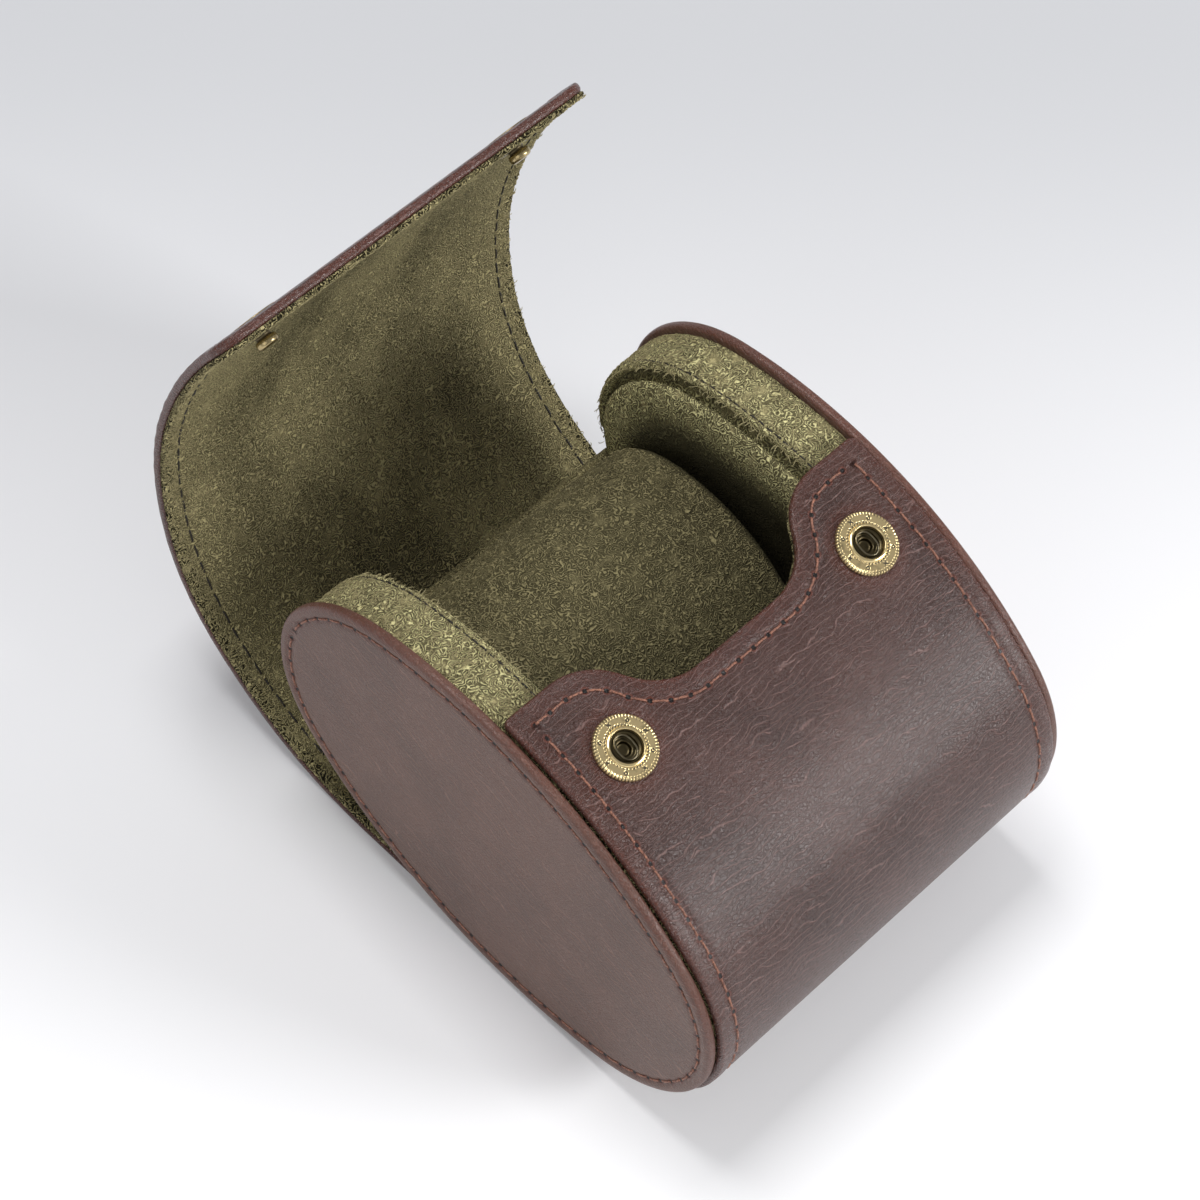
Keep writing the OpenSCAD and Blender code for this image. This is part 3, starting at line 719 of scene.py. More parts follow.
def make_strip():
    """Leather and lining of the wrap and the flap: one piece on the case and six that bend across the bend
    lines. The outer face sinks along the stitches, most at each hole, and the lining has soft waves."""
    front, rest = stitch_paths()
    paths = [dense(front), dense(rest, 1.0)]
    for piece in range(len(CUTS) - 1):
        x, s, edge = strip_grid(piece)
        plane = np.stack([x, s], -1)
        tracks = [nearest(p, plane) for p in (paths if piece < 2 else paths[1:])]
        along, off = tracks[0]
        if len(tracks) > 1:
            closer = tracks[1][1] < off
            along, off = np.where(closer, tracks[1][0], along), np.where(closer, tracks[1][1], off)
        trim = np.stack([along, off, edge], -1)
        holes = 0.78 + 0.22 * np.cos(2 * np.pi * along / STITCH_PITCH)
        sink = 0.36 * np.exp(-(off / 0.8) ** 2) * holes * np.clip(edge / 2, 0, 1)
        plump = 0.10 * np.exp(-((edge - 1.9) / 1.2) ** 2) + 0.09 * ripple(plane, 6, 12) * np.exp(-edge / 2)
        wave = 0.10 * ripple(plane, 26, 11) * np.clip(edge / 8, 0, 1)
        skip = np.hypot(np.abs(x) - SNAP_X, s - SOCKET_S) < SOCKET_HOLE if piece == 0 else None
        plies = [("leather", SUEDE_T + 0.02, WRAP_T, "leather", edge, 0.62),
                 ("lining", 0.0, SUEDE_T - 0.02, "fine", frayed(edge, x, s), 0.45)]
        for kind, low, high, finish, rim, reach in plies:
            middle, half = (low + high) / 2, (high - low) / 2 * bulge(rim, reach)
            out = middle + half
            if kind == "leather":
                out = np.maximum(out - sink + plump * bulge(rim, reach), middle - half)
                back = middle - half
            else:
                back = np.minimum(middle - half + (sink * 0.8 - wave - 0.03) * bulge(rim, 1.5), out)
            lays = [np.stack([x, s, n], -1) for n in (out, back)]
            made = shell(f"{piece_name(piece)}_{kind}", on_strip(x, s, out), on_strip(x, s, back),
                         FINISH[finish], lays, trim, skip)
            fix_strip_piece(made, piece, kind)


def fix_strip_piece(made, piece, kind):
    """Puts a piece of the strip on its body or across its bend line, in place of its solid."""
    node = "body" if piece == 0 else "tip" if piece == len(CUTS) - 2 else f"flap_{piece}"
    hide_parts(f"{node}_{kind}")
    "leather" if kind == "leather" else "suede"
    hang(made, piece)


def hang(made, piece):
    """Rides a piece on the case, or blends it across the bend line in its middle."""
    if piece == 0:
        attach(made, "case")
        return
    bend = BEND_S[piece - 1]
    way = heading(STRIP.way_at(bend))
    middle = STRIP.at(bend)
    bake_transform(made)


# ---- Stitches ----

THREAD_RISE = ((0.05, -0.7), (0.09, -0.35), (0.17, -0.03), (0.32, 0.06), (0.5, 0.08), (0.68, 0.06),
               (0.83, -0.03), (0.91, -0.35), (0.95, -0.7))


def stitch_threads(path, place, sign, radius=0.24, pitch=STITCH_PITCH):
    """Threads of one stitch line. path gives points in a plane, place(points, n) puts them on the surface.
    A thread runs from hole to hole and dips into each by the heights of THREAD_RISE. The last value given
    back is each thread's points in the plane."""
    size = lengths(path)
    count = int(size[-1] / pitch)
    share, rise = np.array(THREAD_RISE).T
    draw = np.random.default_rng(3)
    lean = draw.uniform(-0.12, 0.12, count)[:, None] * np.sin(np.pi * share)[None]
    u = (np.arange(count)[:, None] + share[None]) * pitch
    flat = np.stack([np.interp(u, size, path[:, k]) for k in (0, 1)], -1)
    ahead = np.stack([np.interp(u + 0.05, size, path[:, k]) for k in (0, 1)], -1) - flat
    ahead /= np.maximum(np.linalg.norm(ahead, axis=-1, keepdims=True), 1e-9)
    flat = flat + np.stack([-ahead[..., 1], ahead[..., 0]], -1) * lean[..., None]
    centres = place(flat, sign * rise[None] + 0 * u)
    up = unit(place(flat, sign * (rise[None] + 0.5) + 0 * u) - centres)
    side = unit(np.cross(up, np.gradient(centres, axis=1)))
    return centres, up, side, radius * MM, flat


def make_stitches():
    """Stitches of the discs and of wrap and flap, where each thread goes with its piece of the strip."""
    front, rest = stitch_paths()
    sets = []
    for path in (dense(front), dense(rest, 1.0)):
        sets.append(stitch_threads(path, lambda p, n: on_strip(p[..., 0], p[..., 1], WRAP_T - 0.24 + n), 1))
    sets.append(stitch_threads(dense(rest, 1.0), lambda p, n: on_strip(p[..., 0], p[..., 1], 0.2 + n), -1))
    for piece in range(len(CUTS) - 1):
        for kind, finish, some in (("stitches", "thread", sets[:2]), ("lining_stitches", "seam", sets[2:])):
            points, faces, first = [], [], 0
            for centres, up, side, radius, flat in some:
                middle = flat[:, 4, 1]
                mine = (middle >= CUTS[piece]) & (middle < CUTS[piece + 1])
                if finish == "seam":
                    mine &= middle > STRIP.s[3]
                if mine.any():
                    p, f = tubes(centres[mine], up[mine], side[mine], radius)
                    points.append(p)
                    faces += [[first + i for i in face] for face in f]
                    first += len(p)
            if points:
                name = f"{kind}_{piece_name(piece)}"
                hang(make_mesh(name, np.concatenate(points), faces, FINISH[finish]), piece)
    path = oval_at(even_directions(721), -DISC_STITCH_IN)
    for name, sign in (("left", -1), ("right", 1)):
        def on_disc(p, n):
            return stand(with_x(sign * (HALF_LENGTH - 0.22 + n), p))
        p, f = tubes(*stitch_threads(path, on_disc, 1)[:4])
        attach(make_mesh(f"stitches_{name}_disc", p, f, FINISH["thread"]), "case")


# ---- End walls ----

DISC_STITCH_IN = 2.7
END_SHARES = np.array([0.12, 0.3, 0.5, 0.7, 0.85, 0.95, 1.0])
NO_EDGE = 40.0
PAD_STEP, TRAY_STEP = 2.55, 4.4


def swept(t, x, off, oval=OVAL):
    """Rings round an oval, as an array (profile, directions, 3): off has a row for each place of a profile
    and a column for each direction t, and x has a value for each row or for each of off's."""
    return with_x(x if x.ndim > 1 else x[:, None], oval_at(np.broadcast_to(t, off.shape), off, oval))


def to_middle(ring, shares):
    """Rings that shrink a ring towards the oval's middle line by shares, and a last one in a point."""
    return np.stack([ring * [1, 1 - u, 1 - u] for u in shares])


def make_discs():
    """The leather discs: a face with a slight crown that sinks along its stitches, and a round edge."""
    t = even_directions(721)[:-1]
    turn = np.radians(np.linspace(0, 90, 7))
    r = 0.85
    outside = np.r_[8.0, np.arange(7.0, 4.4, -0.6), np.arange(4.2, 1.1, -0.3), r + 0.12]
    along = lengths(oval_at(even_directions(721), -DISC_STITCH_IN))[:-1]
    holes = 0.75 + 0.25 * np.cos(2 * np.pi * along / STITCH_PITCH)
    sink = 0.36 * np.exp(-((outside - DISC_STITCH_IN) / 0.7) ** 2)
    crest = 0.10 * np.exp(-((outside - 1.5) / 0.7) ** 2)
    fall, draw_in = r * (1 - np.cos(turn)), r * (1 - np.sin(turn))
    x = np.concatenate([HALF_LENGTH - sink[:, None] * holes + crest[:, None],
                        np.r_[HALF_LENGTH - fall, DISC_IN + fall[::-1]][:, None] + 0 * along])
    d = np.r_[outside, draw_in, draw_in[::-1]][:, None] + 0 * along
    for name, sign in (("left", -1), ("right", 1)):
        ring = swept(t, x, -d)
        face = to_middle(ring[0], END_SHARES)[::-1]
        face[..., 0] += 0.22 * np.sin(np.pi / 2 * END_SHARES[::-1])[:, None]
        back = to_middle(ring[-1], END_SHARES)
        rings = np.concatenate([face, ring, back]) * [sign, 1, 1]
        edge = np.concatenate([np.full(face.shape[:2], 9.0), d, np.full(back.shape[:2], 9.0)])
        off = np.abs(edge - DISC_STITCH_IN)
        trim = np.stack([np.broadcast_to(along, edge.shape), off, edge], -1)
        lay = rings[..., [1, 2, 0]] + 40 * sign
        made = loft(f"{name}_disc", stand(rings), FINISH["disc"], lay=lay, trim=trim)
        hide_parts(f"{name}_end_leather")
        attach(made, "case")


def stepped_in(t):
    """How far a wall's pad keeps inside the discs' edge, which is further over the tray's directions."""
    s = np.where(np.asarray(t) > 320, np.asarray(t) - 360, t)

    def eased(u):
        c = np.clip(u, 0, 1)
        return c * c * (3 - 2 * c)
    into = eased((s - 118) / 9 + 1)
    out = np.where(s < 0, eased((-40 - s) / 9 + 1), 1)
    return PAD_STEP + TRAY_STEP * into * out


def exposed(t):
    """1 in the directions where nothing covers a wall's rim, 0 under the wrap or the tray."""
    s = (np.asarray(t) + 180) % 360 - 180
    return np.clip((s + 38) / 8, 0, 1) * np.clip((84 - s) / 6, 0, 1)


RIM_BAND = ((0.05, -6.0), (0.05, -2.4), (0.2, -2.1), (0.6, -1.93), (1.6, -1.84), (3.4, -1.80), (5.2, -1.80),
            (7.0, -1.82), (8.4, -1.84), (9.2, -1.92), (9.55, -2.25), (9.85, -1.98), (10.1, -1.95),
            (10.35, -2.1), (10.5, -2.45), (10.4, -2.9), (9.9, -3.2), (9.4, -3.4), (9.3, -6.0))
LIP_IN, SEAM_IN = 9.3, 9.55
PAD_PROFILE = ((-0.1, 0.0), (0.1, -0.9), (0.3, -2.0), (0.6, -2.9), (1.0, -3.4), (1.4, -3.25), (1.8, -2.6),
               (2.25, -2.1), (2.7, -2.05), (3.15, -2.55), (3.5, -3.4), (3.75, -4.5), (3.9, -5.8),
               (3.98, -7.4), (4.0, -9.0), (4.0, -12.0))
# Painted shade in the pads' valley: shares of darkening for the first rows of PAD_PROFILE.
PAD_SHADES = (0.8, 0.7, 0.5, 0.35, 0.2, 0.1)


def make_walls():
    """The suede band round each wall's rim, a crowned strip with a sewn lip, and the wall's pad: it falls
    from the lip into a valley, swells, and turns in to a slightly domed face. RIM_BAND and PAD_PROFILE hold
    depths in from the disc's and the wall's face, and places outside the oval."""
    t = even_directions(541)[:-1]
    show = exposed(t)
    rough = 0.10 * ripple(oval_at(t), 5, 21) + 0.06 * ripple(oval_at(t), 2.0, 22)
    depth, off = np.array(RIM_BAND).T
    x = DISC_IN - depth[:, None] + np.maximum(depth - LIP_IN, 0)[:, None] * (1 - show)
    off = off[:, None] + 0.45 * show * (off > -2.3)[:, None] + rough * (off > -3)[:, None] * 0.5
    inset, pad_off = np.array(PAD_PROFILE).T
    shares = np.r_[0.15, 0.4, 0.65, 0.85, 0.95, 1.0]
    low = pad_off[:, None] - stepped_in(t) + 0.4 * rough * (pad_off > -4)[:, None]
    # Painted shade: the pad's face darkens towards its bottom, beside the cushion, and its valley rows take
    # PAD_SHADES.
    deep = np.interp(pad_off, [-11.0, -7.0], [0.85, 0.0])
    deep[:len(PAD_SHADES)] = PAD_SHADES
    shade = np.r_[np.ones(len(shares)), deep, np.ones(len(shares))]
    for name, sign in (("left", -1), ("right", 1)):
        rings = swept(t, x, off) * [sign, 1, 1]
        rings = np.concatenate([rings, rings[:1]])
        made = loft(f"{name}_rim_suede", stand(rings), FINISH["curly"], lay=rings + 60 * sign,
                    trim=rings * 0 + NO_EDGE)
        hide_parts(f"{name}_rim_band")
        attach(made, "case")
        pad = swept(t, WALL_IN - inset, low)
        back = to_middle(pad[0] * [0, 1, 1] + [WALL_IN - inset[0], 0, 0], shares)[::-1]
        pad = np.concatenate([back, pad, to_middle(pad[-1], shares)]) * [sign, 1, 1]
        made = loft(f"{name}_wall_cushioning", stand(pad), FINISH["curly"], lay=pad - 60 * sign,
                    trim=pad * 0 + NO_EDGE, shade=shade[:, None] + 0 * pad[..., 0])
        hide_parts(f"{name}_wall_pad")
        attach(made, "case")


def make_seams():
    """The small dark stitches in the groove beside each rim's lip: a path of lengths round the oval."""
    t = even_directions(721, first=-44.0, last=88.0)
    size = lengths(oval_at(t))
    for name, sign in (("left", -1), ("right", 1)):
        def in_groove(p, n):
            at = oval_at(np.interp(p[..., 0], size, t), -1.66 + n)
            return stand(with_x(sign * (DISC_IN - SEAM_IN) + p[..., 1], at))
        p, f = tubes(*stitch_threads(np.stack([size, 0 * size], -1), in_groove, 1, 0.19, 2.1)[:4])
        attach(make_mesh(f"{name}_rim_seam", p, f, FINISH["seam"]), "case")


# ---- Loose fibres of the suede ----


def fibres(name, starts, place, seed, sink=(-0.1, 0.0), rise=0.24, length=(0.8, 2.2), radius=0.075):
    """Short curled fibres, each an arc in the surface from its start, with a random heading, turn and
    length. Its height is a draw from sink plus an arch of about rise. place is as for threads."""
    draw = np.random.default_rng(seed)
    count = len(starts)
    share = np.linspace(0, 1, 6)
    way = draw.uniform(0, 2 * np.pi, count)[:, None] + draw.normal(0, 1.7, count)[:, None] * share[None]
    step = draw.uniform(*length, count)[:, None] / 5
    flat = starts[:, None] + np.cumsum(np.stack([np.cos(way), np.sin(way)], -1) * step[..., None], 1)
    arch = rise * np.sin(np.pi * share)[None]
    up_by = draw.uniform(*sink, count)[:, None] + arch * draw.uniform(0.5, 1.4, (count, 1))
    centres = place(flat, up_by)
    up = unit(place(flat, up_by + 0.5) - centres)
    side = unit(np.cross(up, np.gradient(centres, axis=1)))
    p, f = tubes(centres, up, side, radius * MM, 4)
    return make_mesh(name, p, f, FINISH["fluff"])


FUR_DEPTH = (0.1, 0.5, 1.8, 8.4, 9.2, 9.55, 9.9, 10.3, 10.5)
FUR_OFF = (-2.0, -1.55, -1.4, -1.4, -1.5, -1.85, -1.55, -1.8, -2.3)


def rim_fibres(draw):
    """Fibres on the rims, on the surface that FUR_OFF gives over FUR_DEPTH, thickest along both edges."""
    t = even_directions(721, first=-40.0, last=86.0)
    size = lengths(oval_at(t))
    for name, sign in (("left", -1), ("right", 1)):
        def on_rim(p, n):
            off = np.interp(p[..., 1], FUR_DEPTH, FUR_OFF)
            at = oval_at(np.interp(p[..., 0], size, t), off + n)
            return stand(with_x(sign * (DISC_IN - p[..., 1]), at))
        depth = np.r_[draw.uniform(0.3, 10.0, 900), draw.normal(10.1, 0.3, 420),
                      draw.normal(0.5, 0.25, 260)]
        starts = np.stack([draw.uniform(1, size[-1] - 2, len(depth)), np.clip(depth, 0.2, 10.4)], -1)
        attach(fibres(f"{name}_rim_fibres", starts, on_rim, 62 + sign), "case")


def cushion_fibres(draw):
    """Fibres on the cushion, thickest beside its two end seams."""
    middle = cushion_middle()
    turn = even_directions(721, CUSHION)
    size = lengths(oval_at(turn, 0, CUSHION))
    seam = CUSHION_HALF - 3

    def on_cushion(p, n):
        inner = 0.6 * (p[..., 0] / seam) ** 2 + np.clip(np.abs(p[..., 0]) - seam, 0, 3) ** 2 * 0.3
        at = oval_at(np.interp(p[..., 1] % size[-1], size, turn), n - inner - 0.1, CUSHION)
        return stand(with_x(p[..., 0], at + middle))
    x = np.r_[draw.uniform(-seam, seam, 2300), draw.choice([-1, 1], 500) * draw.normal(seam, 0.8, 500)]
    starts = np.stack([x, draw.uniform(0, size[-1], len(x))], -1)
    made = fibres("cushion_fibres", starts, on_cushion, 71, rise=0.16, length=(0.6, 1.6), radius=0.06)
    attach(made, "cushion")


def edge_fibres(draw, piece):
    """Fibres along the cut edges of a piece of the flap. They keep further in where it passes the discs."""
    start, end = CUTS[piece], CUTS[piece + 1]
    count = int((end - start) * 20)
    s = draw.uniform(start, end, count)
    inset = 0.8 if piece > 2 else 2.6
    x = draw.choice([-1, 1], count) * (WRAP_HALF - inset - np.abs(draw.normal(0.0, 1.3, count)))
    if piece == len(CUTS) - 2:
        s = np.r_[s, S_TIP - 0.8 - np.abs(draw.normal(0.0, 1.4, 1500))]
        x = np.r_[x, draw.uniform(-WRAP_HALF + 3, WRAP_HALF - 3, 1500)]
        gone = (np.abs(x) > WRAP_HALF - 3.4) & (s > S_TIP - 3.4)
        s, x = s[~gone], x[~gone]

    def on_lining(p, n):
        return on_strip(p[..., 0], p[..., 1], -n)
    made = fibres(f"edge_fibres_{piece}", np.stack([x, s], -1), on_lining, 80 + piece,
                  sink=(-0.3, 0.02), rise=0.2, length=(0.6, 1.6), radius=0.085)
    hang(made, piece)


def make_fibres():
    """All the loose fibres. They share one run of random draws."""
    draw = np.random.default_rng(61)
    rim_fibres(draw)
    cushion_fibres(draw)
    for piece in range(1, len(CUTS) - 1):
        edge_fibres(draw, piece)


# ---- Tray ----

TRAY_OFF, TRAY_HALF_T = -3.9, 2.05


def make_tray():
    """The suede-covered tray that the cushion lies on: a bent pad with round edges between the walls."""
    t = even_directions(150, first=118.0, last=320.0)
    reach, soft = WALL_IN - 0.1, 2.0
    rim = reach - soft + soft * np.sin(np.radians(np.linspace(0, 90, 8)))
    half = np.r_[np.linspace(0, reach - soft, 22)[:-1], rim]
    x = np.r_[-half[:0:-1], half]
    size = lengths(oval_at(t))
    x, t = np.meshgrid(x, t, indexing="ij")
    s = np.broadcast_to(size, x.shape)
    edge = np.minimum(reach - np.abs(x), np.minimum(s, size[-1] - s))
    waves = (0.12 * ripple(np.stack([x, s], -1), 18, 31) + 0.1) * np.clip(edge / 4, 0, 1)
    half_t = TRAY_HALF_T * bulge(edge, soft, 2.2)
    offs = (TRAY_OFF + half_t, TRAY_OFF - half_t - waves)
    sheets = [stand(with_x(x, oval_at(t, off))) for off in offs]
    lays = [np.stack([x, s, off], -1) + 200 for off in offs]
    made = shell("tray_suede", *sheets, FINISH["fine"], lays, np.full((*s.shape, 3), NO_EDGE))
    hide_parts("floor_pad", "body_board")
    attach(made, "case")


# ---- Cushion ----

CUSHION = (27.0, 21.0, 19.0)
CUSHION_HALF = 29.0


def cushion_middle():
    """The (y, z) of the cushion's middle in the case's frame."""
    low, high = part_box("cushion_sleeve")
    return unstand((low.y + high.y) / 2, (low.z + high.z) / 2)


def make_cushion():
    """The cushion: an oval roll with soft round ends, sewn-in end pieces and slight creases."""
    t = even_directions(361, CUSHION)[:-1]
    turn = np.radians(np.linspace(0, 90, 10))
    r = 3.2
    body = np.linspace(1, -1, 61)[1:-1]
    seam = [(CUSHION_HALF - 0.9, 8.5), (CUSHION_HALF - 0.4, 6.6), (CUSHION_HALF - 0.3, 5.6),
            (CUSHION_HALF - 0.75, 4.9)]
    bend = (CUSHION_HALF - r * 0.9 * (1 - np.cos(turn)) - 0.1, 0.6 + (r - 0.2) * (1 - np.sin(turn)))
    right = np.concatenate([seam, np.stack(bend, -1)])
    mid = np.stack([body * (CUSHION_HALF - r), 0.6 * body ** 2], -1)
    x, d = np.concatenate([right, mid, right[::-1] * [-1, 1]]).T
    rings = swept(t, x, -d[:, None] + 0 * t, CUSHION)
    soft = 0.22 * ripple(rings, 24, 41) + 0.07 * ripple(rings, 7, 42)
    rings = rings * (1 - (0.004 + soft * 0.012)[..., None] * [0, 1, 1])
    caps = [to_middle(ring, END_SHARES) for ring in (rings[0], rings[-1])]
    for cap, sign in zip(caps, (1, -1)):
        cap[..., 0] += sign * 0.5 * np.sin(np.pi / 2 * END_SHARES)[:, None]
    rings = np.concatenate([caps[0][::-1], rings, caps[1]])
    # Painted shade: the cushion darkens towards its ends, beside the walls.
    shade = np.clip(np.abs(rings[..., 0]) - 26.6, 0, 1.8) * 0.5
    made = loft("cushion_suede", stand(rings + np.r_[0, cushion_middle()]), FINISH["cushion"],
                lay=rings + 300, trim=rings * 0 + NO_EDGE, shade=shade)
    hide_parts("cushion_sleeve", "cushion_left_end", "cushion_right_end", "cushion_core")
    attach(made, "cushion")


# ---- Snaps ----


def snap_frame(side, p, up):
    """Origin and axes, as rows, of a snap's half at a point (y, z): its third axis points along up."""
    return np.r_[side * SNAP_X, p], np.array([[1, 0, 0], [0, up[1], -up[0]], [0, up[0], up[1]]])


def at_socket(side):
    """Origin and axes of a socket: its third axis points out of the leather."""
    return snap_frame(side, oval_at(SOCKET_AT, 1.0), heading(SOCKET_AT))


def at_stud(side):
    """Origin and axes of a stud: its third axis points away from the lining, into the case."""
    s = BEND_S[5] + TIP_REACH
    return snap_frame(side, STRIP.at(s), heading(STRIP.way_at(s) + 90))


def lathe(name, r, z, where, material, sunk=None):
    """A turned piece from radii and heights, arrays (profile, angles), at an origin with its axes."""
    angle = np.arange(r.shape[1]) * 2 * np.pi / r.shape[1]
    local = np.stack([r * np.cos(angle), r * np.sin(angle), z], -1)
    origin, axes = where
    sunk = np.zeros(r.shape) if sunk is None else sunk
    return loft(name, stand(origin + local @ axes), material, sunk=sunk)


def turned_profile(points, steps, angles):
    """Profile corners (r, z), with steps points between each pair, for that many angles."""
    points = np.array(points, float)
    u = np.linspace(0, len(points) - 1, (len(points) - 1) * steps + 1)
    r, z = (np.interp(u, np.arange(len(points)), points[:, k]) for k in (0, 1))
    return np.repeat(r[:, None], angles, 1), np.repeat(z[:, None], angles, 1)


def ring_marks(r, angle):
    """Stamped ornaments round a ring, 8 of them, diamonds and crosses in turn: 1 inside a mark."""
    step = 2 * np.pi / 8
    turn = (angle + step / 2) % step - step / 2
    x, y = turn * r, r - MARK_AT
    diamond = (np.abs(x) + np.abs(y) < 0.52) & (np.abs(x) + np.abs(y) > 0.16)
    cross = (np.minimum(np.abs(x + y), np.abs(x - y)) < 0.2) & (np.hypot(x, y) < 0.56)
    odd = np.round(angle / step).astype(int) % 2 == 1
    return np.where(odd, diamond, cross).astype(float)


RING_HOLE, RING_RIM, RING_TOP, MARK_AT = 3.1, 6.25, 1.2, 4.86
WELL = ((0, -1.35), (1.05, -1.35), (1.2, -1.25), (1.35, -0.62), (1.5, -0.5), (2.15, -0.48), (2.3, -0.3),
        (2.38, 0.12), (2.62, 0.3), (2.95, 0.36), (3.03, 0.3), (3.03, -1.5), (0, -1.5))


def ring_surface():
    """Radii, heights and sunk shares of a ring with a knurled rim, a knurled line and stamped marks."""
    hole, rim, top = RING_HOLE, RING_RIM, RING_TOP
    lip = [(hole, -3.4), (hole, 0.9), (hole + 0.04, 1.08), (hole + 0.14, top), (hole + 0.34, top + 0.02),
           (hole + 0.52, top - 0.06), (hole + 0.66, 0.95), (hole + 0.72, 0.84)]
    face = [(4.25, 0.86), (5.25, 0.9), (5.42, 0.9), (5.9, 0.86), (6.06, 0.76)]
    under = [(rim - 0.04, 0.5), (rim, 0.3), (rim - 0.08, 0.1), (rim - 0.3, 0.03), (hole + 0.45, 0.03),
             (hole + 0.45, -3.4), (hole, -3.4)]
    angles = 600
    r, z = turned_profile(lip + face + under, 6, angles)
    angle = np.broadcast_to(np.arange(angles) * 2 * np.pi / angles, r.shape)
    upper = z > 0.2
    outer = ((r > 5.42) & upper) * (0.5 - 0.5 * np.cos(60 * angle)) ** 2
    inner = ((r > 3.86) & (r < 4.22) & upper) * (0.5 - 0.5 * np.cos(40 * angle)) ** 2
    marks = ring_marks(r, angle) * upper
    sunk = np.maximum(marks, np.maximum(inner * 0.9, outer * 0.55))
    z = z - 0.12 * marks - 0.13 * outer - 0.10 * inner
    r = np.where((r > 6.0) & upper, r - 0.07 * outer, r)
    # Painted shade: the ring's bore, down into the well, gets a sunk share of 0.7 and so is painted dark.
    return r, z, np.where((r < hole + 0.05) & (z < 0.9), 0.7, sunk)


def make_sockets():
    """The two sockets in the wrap: a brass ring, a dark well and a spring wire."""
    r, z, sunk = ring_surface()
    for name, side in (("left", -1), ("right", 1)):
        made = lathe(f"{name}_socket_face", r, z, at_socket(side), FINISH["brass"], sunk)
        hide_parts(f"{name}_socket_ring")
        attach(made, "case")
        made = lathe(f"{name}_socket_well", *turned_profile(WELL, 3, 96), at_socket(side),
                     FINISH["dark_brass"])
        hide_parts(f"{name}_socket_cup")
        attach(made, "case")
        made = spring(f"{name}_socket_clip", at_socket(side))
        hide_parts(f"{name}_socket_spring")
        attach(made, "case")


def spring(name, where):
    """A bent spring wire in a socket: a ring whose two sides are drawn in to grip the stud."""
    u = np.linspace(0, 1, 61)
    angle = 2 * np.pi * u
    radius = 2.15 - 0.42 * np.abs(np.cos(angle)) ** 3
    line = np.stack([radius * np.cos(angle), radius * np.sin(angle) * 1.12, 0.42 + 0 * u], -1)[:-1]
    up = np.broadcast_to([0.0, 0, 1], line.shape)
    side = unit(np.cross(up, np.roll(line, -1, 0) - np.roll(line, 1, 0)))
    turn = np.arange(10)[:, None] * 2 * np.pi / 10
    wire_r = 0.2
    rings = line[:, None] + wire_r * (np.cos(turn) * up[:, None] + np.sin(turn) * side[:, None])
    rings = np.concatenate([rings, rings[:1]])
    origin, axes = where
    return loft(name, stand(origin + rings @ axes), FINISH["wire"], sunk=np.zeros(rings.shape[:2]))


STUD = ((0, -3.0), (1.2, -3.0), (1.2, 0.05), (3.2, 0.05), (3.3, 0.12), (3.32, 0.3), (3.2, 0.46),
        (2.9, 0.52), (2.2, 0.5), (1.7, 0.55), (1.55, 0.7), (1.52, 1.0), (1.6, 1.12), (1.95, 1.2),
        (2.15, 1.4), (2.22, 1.75), (2.22, 2.1), (2.16, 2.4), (1.98, 2.66), (1.65, 2.83), (1.2, 2.9),
        (0.6, 2.91), (0, 2.9))
CAP = ((0, -2.4), (5.0, -2.4), (5.15, -2.5), (5.2, -2.75), (5.1, -2.84), (4.9, -2.87), (4.0, -2.9),
       (2.6, -2.93), (1.2, -2.95), (0, -2.95))


def make_studs():
    """The studs, fat heads on a dark collar, and the nearly flat caps on the flap's outside."""
    for name, side in (("left", -1), ("right", 1)):
        for part, node, corners in (("stud_head", "stud", STUD), ("cap_dome", "cap", CAP)):
            r, z = turned_profile(corners, 3, 96)
            sunk = ((z > -0.1) & (z < 1.15)) * 0.42 if node == "stud" else np.full(z.shape, 0.2)
            made = lathe(f"{name}_{part}", r, z, at_stud(side), FINISH["bronze"], sunk)
            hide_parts(f"{name}_{node}")
            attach(made, "flap_tip")


def finish_hidden():
    """Gives the solids that stay, under the suede and behind the sockets, their own materials."""
    for name, node in frame["nodes"].items():
        kind = "board" if "board" in name else "dark_brass" if "socket" in name else "foam"
        node.data.materials.clear()
        node.data.materials.append(FINISH[kind])


# ---- Stage ----


LAMPS = (("front", (0.66, -1.06, 0.68), 0.42), ("top", (-0.02, 0.40, 1.35), 0.5),
         ("side", (-1.1, -0.35, 0.7), 0.8))
LAMP_AIM = Vector((0, 0, 0.03))


def make_floor():
    """A pale floor whose tone falls with its distance from the camera, and which glows a little to it."""
    g = Graph("pale_floor")
    x, y, _ = g.parts(g.node("ShaderNodeTexCoord", output="Object"))
    # Painted shade: the floor's colour darkens away from the camera, towards the back.
    deep = y * 0.747 + x * 0.665
    tone = g.mix(tint((253, 253, 254)), tint((246, 246, 248)), deep.ramp(-0.13, -0.01))
    tone = g.mix(tone, tint((204, 205, 208)), deep.ramp(-0.01, 0.19))
    matt = g.node("ShaderNodeBsdfDiffuse", values={"Color": tone})
    glow = g.node("ShaderNodeEmission", values={"Color": tone, "Strength": 1.0})
    seen = g.node("ShaderNodeLightPath", output=0) * 0.10
    both = g.node("ShaderNodeMixShader", values={0: seen, 1: matt, 2: glow})
    g.node("ShaderNodeOutputMaterial", values={"Surface": both})
    mesh = bpy.data.meshes.new("floor")
    r = 3.0
    mesh.from_pydata([(-r, -r, 0), (r, -r, 0), (r, r, 0), (-r, r, 0)], [], [(0, 1, 2, 3)])
    mesh.materials.append(g.material)
    link("floor", mesh)


